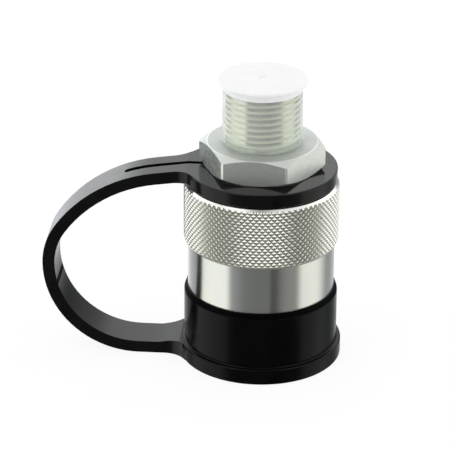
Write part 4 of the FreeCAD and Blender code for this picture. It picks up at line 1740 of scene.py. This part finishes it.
@dataclass(frozen=True)
class Glow:
    """The studio light's colour at one angle, in degrees, from which it fades to the next one's."""

    angle: float
    colour: Colour


@dataclass(frozen=True)
class Window:
    """A round soft-edged area of the studio light that is brighter or dimmer than the rest.

    towards is its direction from the camera's side and gain its factor. The angles, in degrees from
    the middle, are where its edge begins and ends.
    """

    towards: Vector
    gain: float
    inner_angle: float = 10.0
    outer_angle: float = 25.0


@dataclass
class Studio:
    """The camera, the pale floor and the soft light round the coupler.

    panels are what stands round the coupler, by the bearing from the camera's side. ceiling is the
    light above and below them, by the height over the horizon, and panel_reach says, in white, at
    which heights the panels hide it. Towards the camera the ceiling gives way to front_dimness,
    between dim_from and dim_until on a scale from -1 in front to 1 behind and beside.
    """

    azimuth: float = 4.42
    elevation: float = 24.83
    roll: float = -0.005034
    lens: float = 207.07
    distance: float = 634.07 * MM
    aim_right: float = -8.894 * MM
    aim_height: float = 33.683 * MM
    nearest_seen: float = 50 * MM
    farthest_seen: float = 10000 * MM
    floor_size: float = 4000 * MM
    floor_grey: float = 0.85
    floor_glow: float = 1.02
    shadow_share: float = 0.12
    lamp_place: Vector = Vector((-450 * MM, -450 * MM, 800 * MM))
    lamp_size: float = 500 * MM
    lamp_power: float = 0.6
    front_dimness: float = 0.22
    dim_until: float = -0.45
    dim_from: float = -0.1
    panels: tuple[Glow, ...] = (
        Glow(-180, (0.95, 0.97, 1.00, 1)),
        Glow(-154, (0.65, 0.67, 0.70, 1)),
        Glow(-140, (0.45, 0.47, 0.50, 1)),
        Glow(-126, (0.32, 0.34, 0.36, 1)),
        Glow(-114, (0.36, 0.38, 0.37, 1)),
        Glow(-108, (0.95, 0.97, 0.90, 1)),
        Glow(-84, (1.03, 1.04, 1.00, 1)),
        Glow(-56, (1.00, 1.00, 0.98, 1)),
        Glow(-48, (0.20, 0.21, 0.22, 1)),
        Glow(-28, (0.15, 0.16, 0.16, 1)),
        Glow(13, (0.15, 0.155, 0.15, 1)),
        Glow(16, grey(0.06)),
        Glow(25, grey(0.06)),
        Glow(28, grey(0.12)),
        Glow(42, grey(0.16)),
        Glow(58, (0.17, 0.17, 0.16, 1)),
        Glow(67, (0.84, 0.85, 0.81, 1)),
        Glow(84, (0.89, 0.90, 0.86, 1)),
        Glow(101, (0.92, 0.93, 0.89, 1)),
        Glow(112, (0.58, 0.60, 0.59, 1)),
        Glow(122, (0.26, 0.28, 0.29, 1)),
        Glow(140, (0.31, 0.33, 0.34, 1)),
        Glow(154, (0.56, 0.58, 0.60, 1)),
        Glow(180, (0.95, 0.97, 1.00, 1)),
    )
    ceiling: tuple[Glow, ...] = (
        Glow(-90, grey(0.62)),
        Glow(-50, grey(0.55)),
        Glow(0, (0.95, 0.97, 0.98, 1)),
        Glow(18, (1.60, 1.62, 1.63, 1)),
        Glow(35, (1.60, 1.62, 1.63, 1)),
        Glow(55, (0.95, 0.96, 0.96, 1)),
        Glow(90, grey(0.90)),
    )
    panel_reach: tuple[Glow, ...] = (
        Glow(-90, grey(0)),
        Glow(-60, grey(0)),
        Glow(-45, grey(1)),
        Glow(-8, grey(1)),
        Glow(6, grey(0)),
        Glow(90, grey(0)),
    )
    windows: tuple[Window, ...] = (
        Window(Vector((-0.41, 0.90, -0.02)), 2.0),
        Window(Vector((0.40, 0.90, 0.04)), 0.3),
    )

    def build(self) -> None:
        """Sets up everything that isn't part of the coupler."""
        bpy.context.scene.view_settings.view_transform = "Standard"
        self._add_camera()
        self._add_floor()
        self._add_world()
        self._add_lamp()
        log.info("studio: camera at %.1f, %.1f degrees", self.azimuth, self.elevation)

    def _add_camera(self) -> None:
        """Puts the camera at the photograph's viewing angle."""
        turn, rise = math.radians(self.azimuth), math.radians(self.elevation)
        right = Vector((math.cos(turn), math.sin(turn), 0))
        back = Vector((math.sin(turn) * math.cos(rise), -math.cos(turn) * math.cos(rise), math.sin(rise)))
        up = back.cross(right)
        tilted_right = math.cos(self.roll) * right - math.sin(self.roll) * up
        tilted_up = math.sin(self.roll) * right + math.cos(self.roll) * up
        place = self.aim_right * right + Vector((0, 0, self.aim_height)) + self.distance * back
        data = bpy.data.cameras.new("photo_camera")
        data.lens = self.lens
        data.clip_start = self.nearest_seen
        data.clip_end = self.farthest_seen
        camera = bpy.data.objects.new("photo_camera", data)
        turned = Matrix((tilted_right, tilted_up, back)).transposed().to_4x4()
        camera.matrix_world = Matrix.Translation(place) @ turned
        bpy.context.scene.collection.objects.link(camera)
        bpy.context.scene.camera = camera

    def _add_floor(self) -> None:
        """Adds the white floor, which keeps a faint shadow and isn't seen in mirrors."""
        bpy.ops.object.select_all(action="DESELECT")
        bpy.ops.mesh.primitive_plane_add(size=self.floor_size)
        floor = bpy.context.object
        floor.name = "studio_floor"
        material, tree, output = empty_material("floor_paper")
        paper = add_node(tree, "ShaderNodeBsdfDiffuse", {"Color": grey(self.floor_grey)}).outputs[0]
        shine = {"Color": grey(1), "Strength": self.floor_glow}
        glow = add_node(tree, "ShaderNodeEmission", shine).outputs[0]
        seen = mix_shaders(tree, self.shadow_share, glow, paper)
        unmirrored = mix_shaders(tree, seen_straight(tree), paper, seen)
        nothing = add_node(tree, "ShaderNodeBsdfTransparent").outputs[0]
        mirrored = add_node(tree, "ShaderNodeLightPath").outputs["Glossy Depth"]
        feed(tree, output, {"Surface": mix_shaders(tree, mirrored, unmirrored, nothing)})
        floor.data.materials.append(material)

    def _add_world(self) -> None:
        """Adds the light from all round: panels beside the coupler, a soft ceiling and white beyond."""
        world = bpy.data.worlds.new("studio_light")
        bpy.context.scene.world = world
        world.use_nodes = True
        tree = world.node_tree
        tree.nodes.clear()
        direction = add_node(tree, "ShaderNodeTexCoord").outputs["Generated"]
        turn_to_camera = {"Vector": direction, "Rotation": (0, 0, -math.radians(self.azimuth))}
        facing = add_node(tree, "ShaderNodeMapping", turn_to_camera).outputs[0]
        parts = add_node(tree, "ShaderNodeSeparateXYZ", {0: facing}).outputs
        towards_camera = calculate(tree, "MULTIPLY", parts["Y"], -1.0)
        bearing = calculate(tree, "ARCTAN2", parts["X"], towards_camera)
        height = calculate(tree, "ARCSINE", parts["Z"])
        beside = self._light_by(tree, bearing, 180, self.panels)
        above = self._light_by(tree, height, 90, self.ceiling)
        hidden = self._light_by(tree, height, 90, self.panel_reach)
        from_front = calculate(tree, "ADD", calculate(tree, "ABSOLUTE", parts["X"]), parts["Y"])
        undimmed = share_between(tree, from_front, self.dim_until, self.dim_from)
        overhead = mix_colours(tree, undimmed, grey(self.front_dimness), above)
        look = {
            "Color": mix_colours(tree, hidden, overhead, beside),
            "Strength": self._window_strength(tree, facing),
        }
        light = add_node(tree, "ShaderNodeBackground", look).outputs[0]
        beyond = add_node(tree, "ShaderNodeBackground", {"Color": grey(1), "Strength": 1.0}).outputs[0]
        surface = mix_shaders(tree, seen_straight(tree), light, beyond)
        add_node(tree, "ShaderNodeOutputWorld", {"Surface": surface})

    @staticmethod
    def _light_by(tree: Tree, angle: Socket, limit: float, glows: Sequence[Glow]) -> Socket:
        """Light whose colour changes with an angle, in radians, that ends at a limit in degrees."""
        place = calculate(tree, "MULTIPLY_ADD", angle, 0.5 / math.radians(limit), 0.5)
        return ramp(tree, place, [(0.5 + glow.angle / (2 * limit), glow.colour) for glow in glows])

    def _window_strength(self, tree: Tree, direction: Socket) -> Socket:
        """How much the windows strengthen or dim the light that comes from a direction.

        Args:
            tree: The world's node tree.
            direction: The direction, seen from the camera's side.

        Returns:
            The factor's output.
        """
        factors = []
        for window in self.windows:
            sides = {0: direction, 1: window.towards.normalized()}
            nearness = add_node(tree, "ShaderNodeVectorMath", sides, operation="DOT_PRODUCT")
            outer = math.cos(math.radians(window.outer_angle))
            inner = math.cos(math.radians(window.inner_angle))
            inside = share_between(tree, nearness.outputs["Value"], outer, inner, "SMOOTHSTEP")
            factors.append(spread_by(tree, inside, 1.0, window.gain))
        return calculate(tree, "MULTIPLY", *factors)

    def _add_lamp(self) -> None:
        """Adds one soft lamp above and behind the camera's left shoulder."""
        data = bpy.data.lights.new("soft_box", "AREA")
        data.shape = "SQUARE"
        data.size = self.lamp_size
        data.energy = self.lamp_power
        lamp = bpy.data.objects.new("soft_box", data)
        aimed = self.lamp_place.to_track_quat("Z", "Y").to_matrix().to_4x4()
        lamp.matrix_world = Matrix.Translation(self.lamp_place) @ aimed
        bpy.context.scene.collection.objects.link(lamp)


def main() -> None:
    """Builds the studio, then the coupler from the outside in."""
    logging.basicConfig(level=logging.INFO, format="%(name)s %(message)s")
    bpy.ops.object.select_all(action="DESELECT")
    Studio().build()
    finishes = Finishes()
    outside = (DustCap(), CouplingSleeve(), RearAdapter(), ThreadProtector())
    for part in (*outside, ValveSpring(), InnerParts()):
        part.build(finishes)


if __name__ == "__main__":
    main()
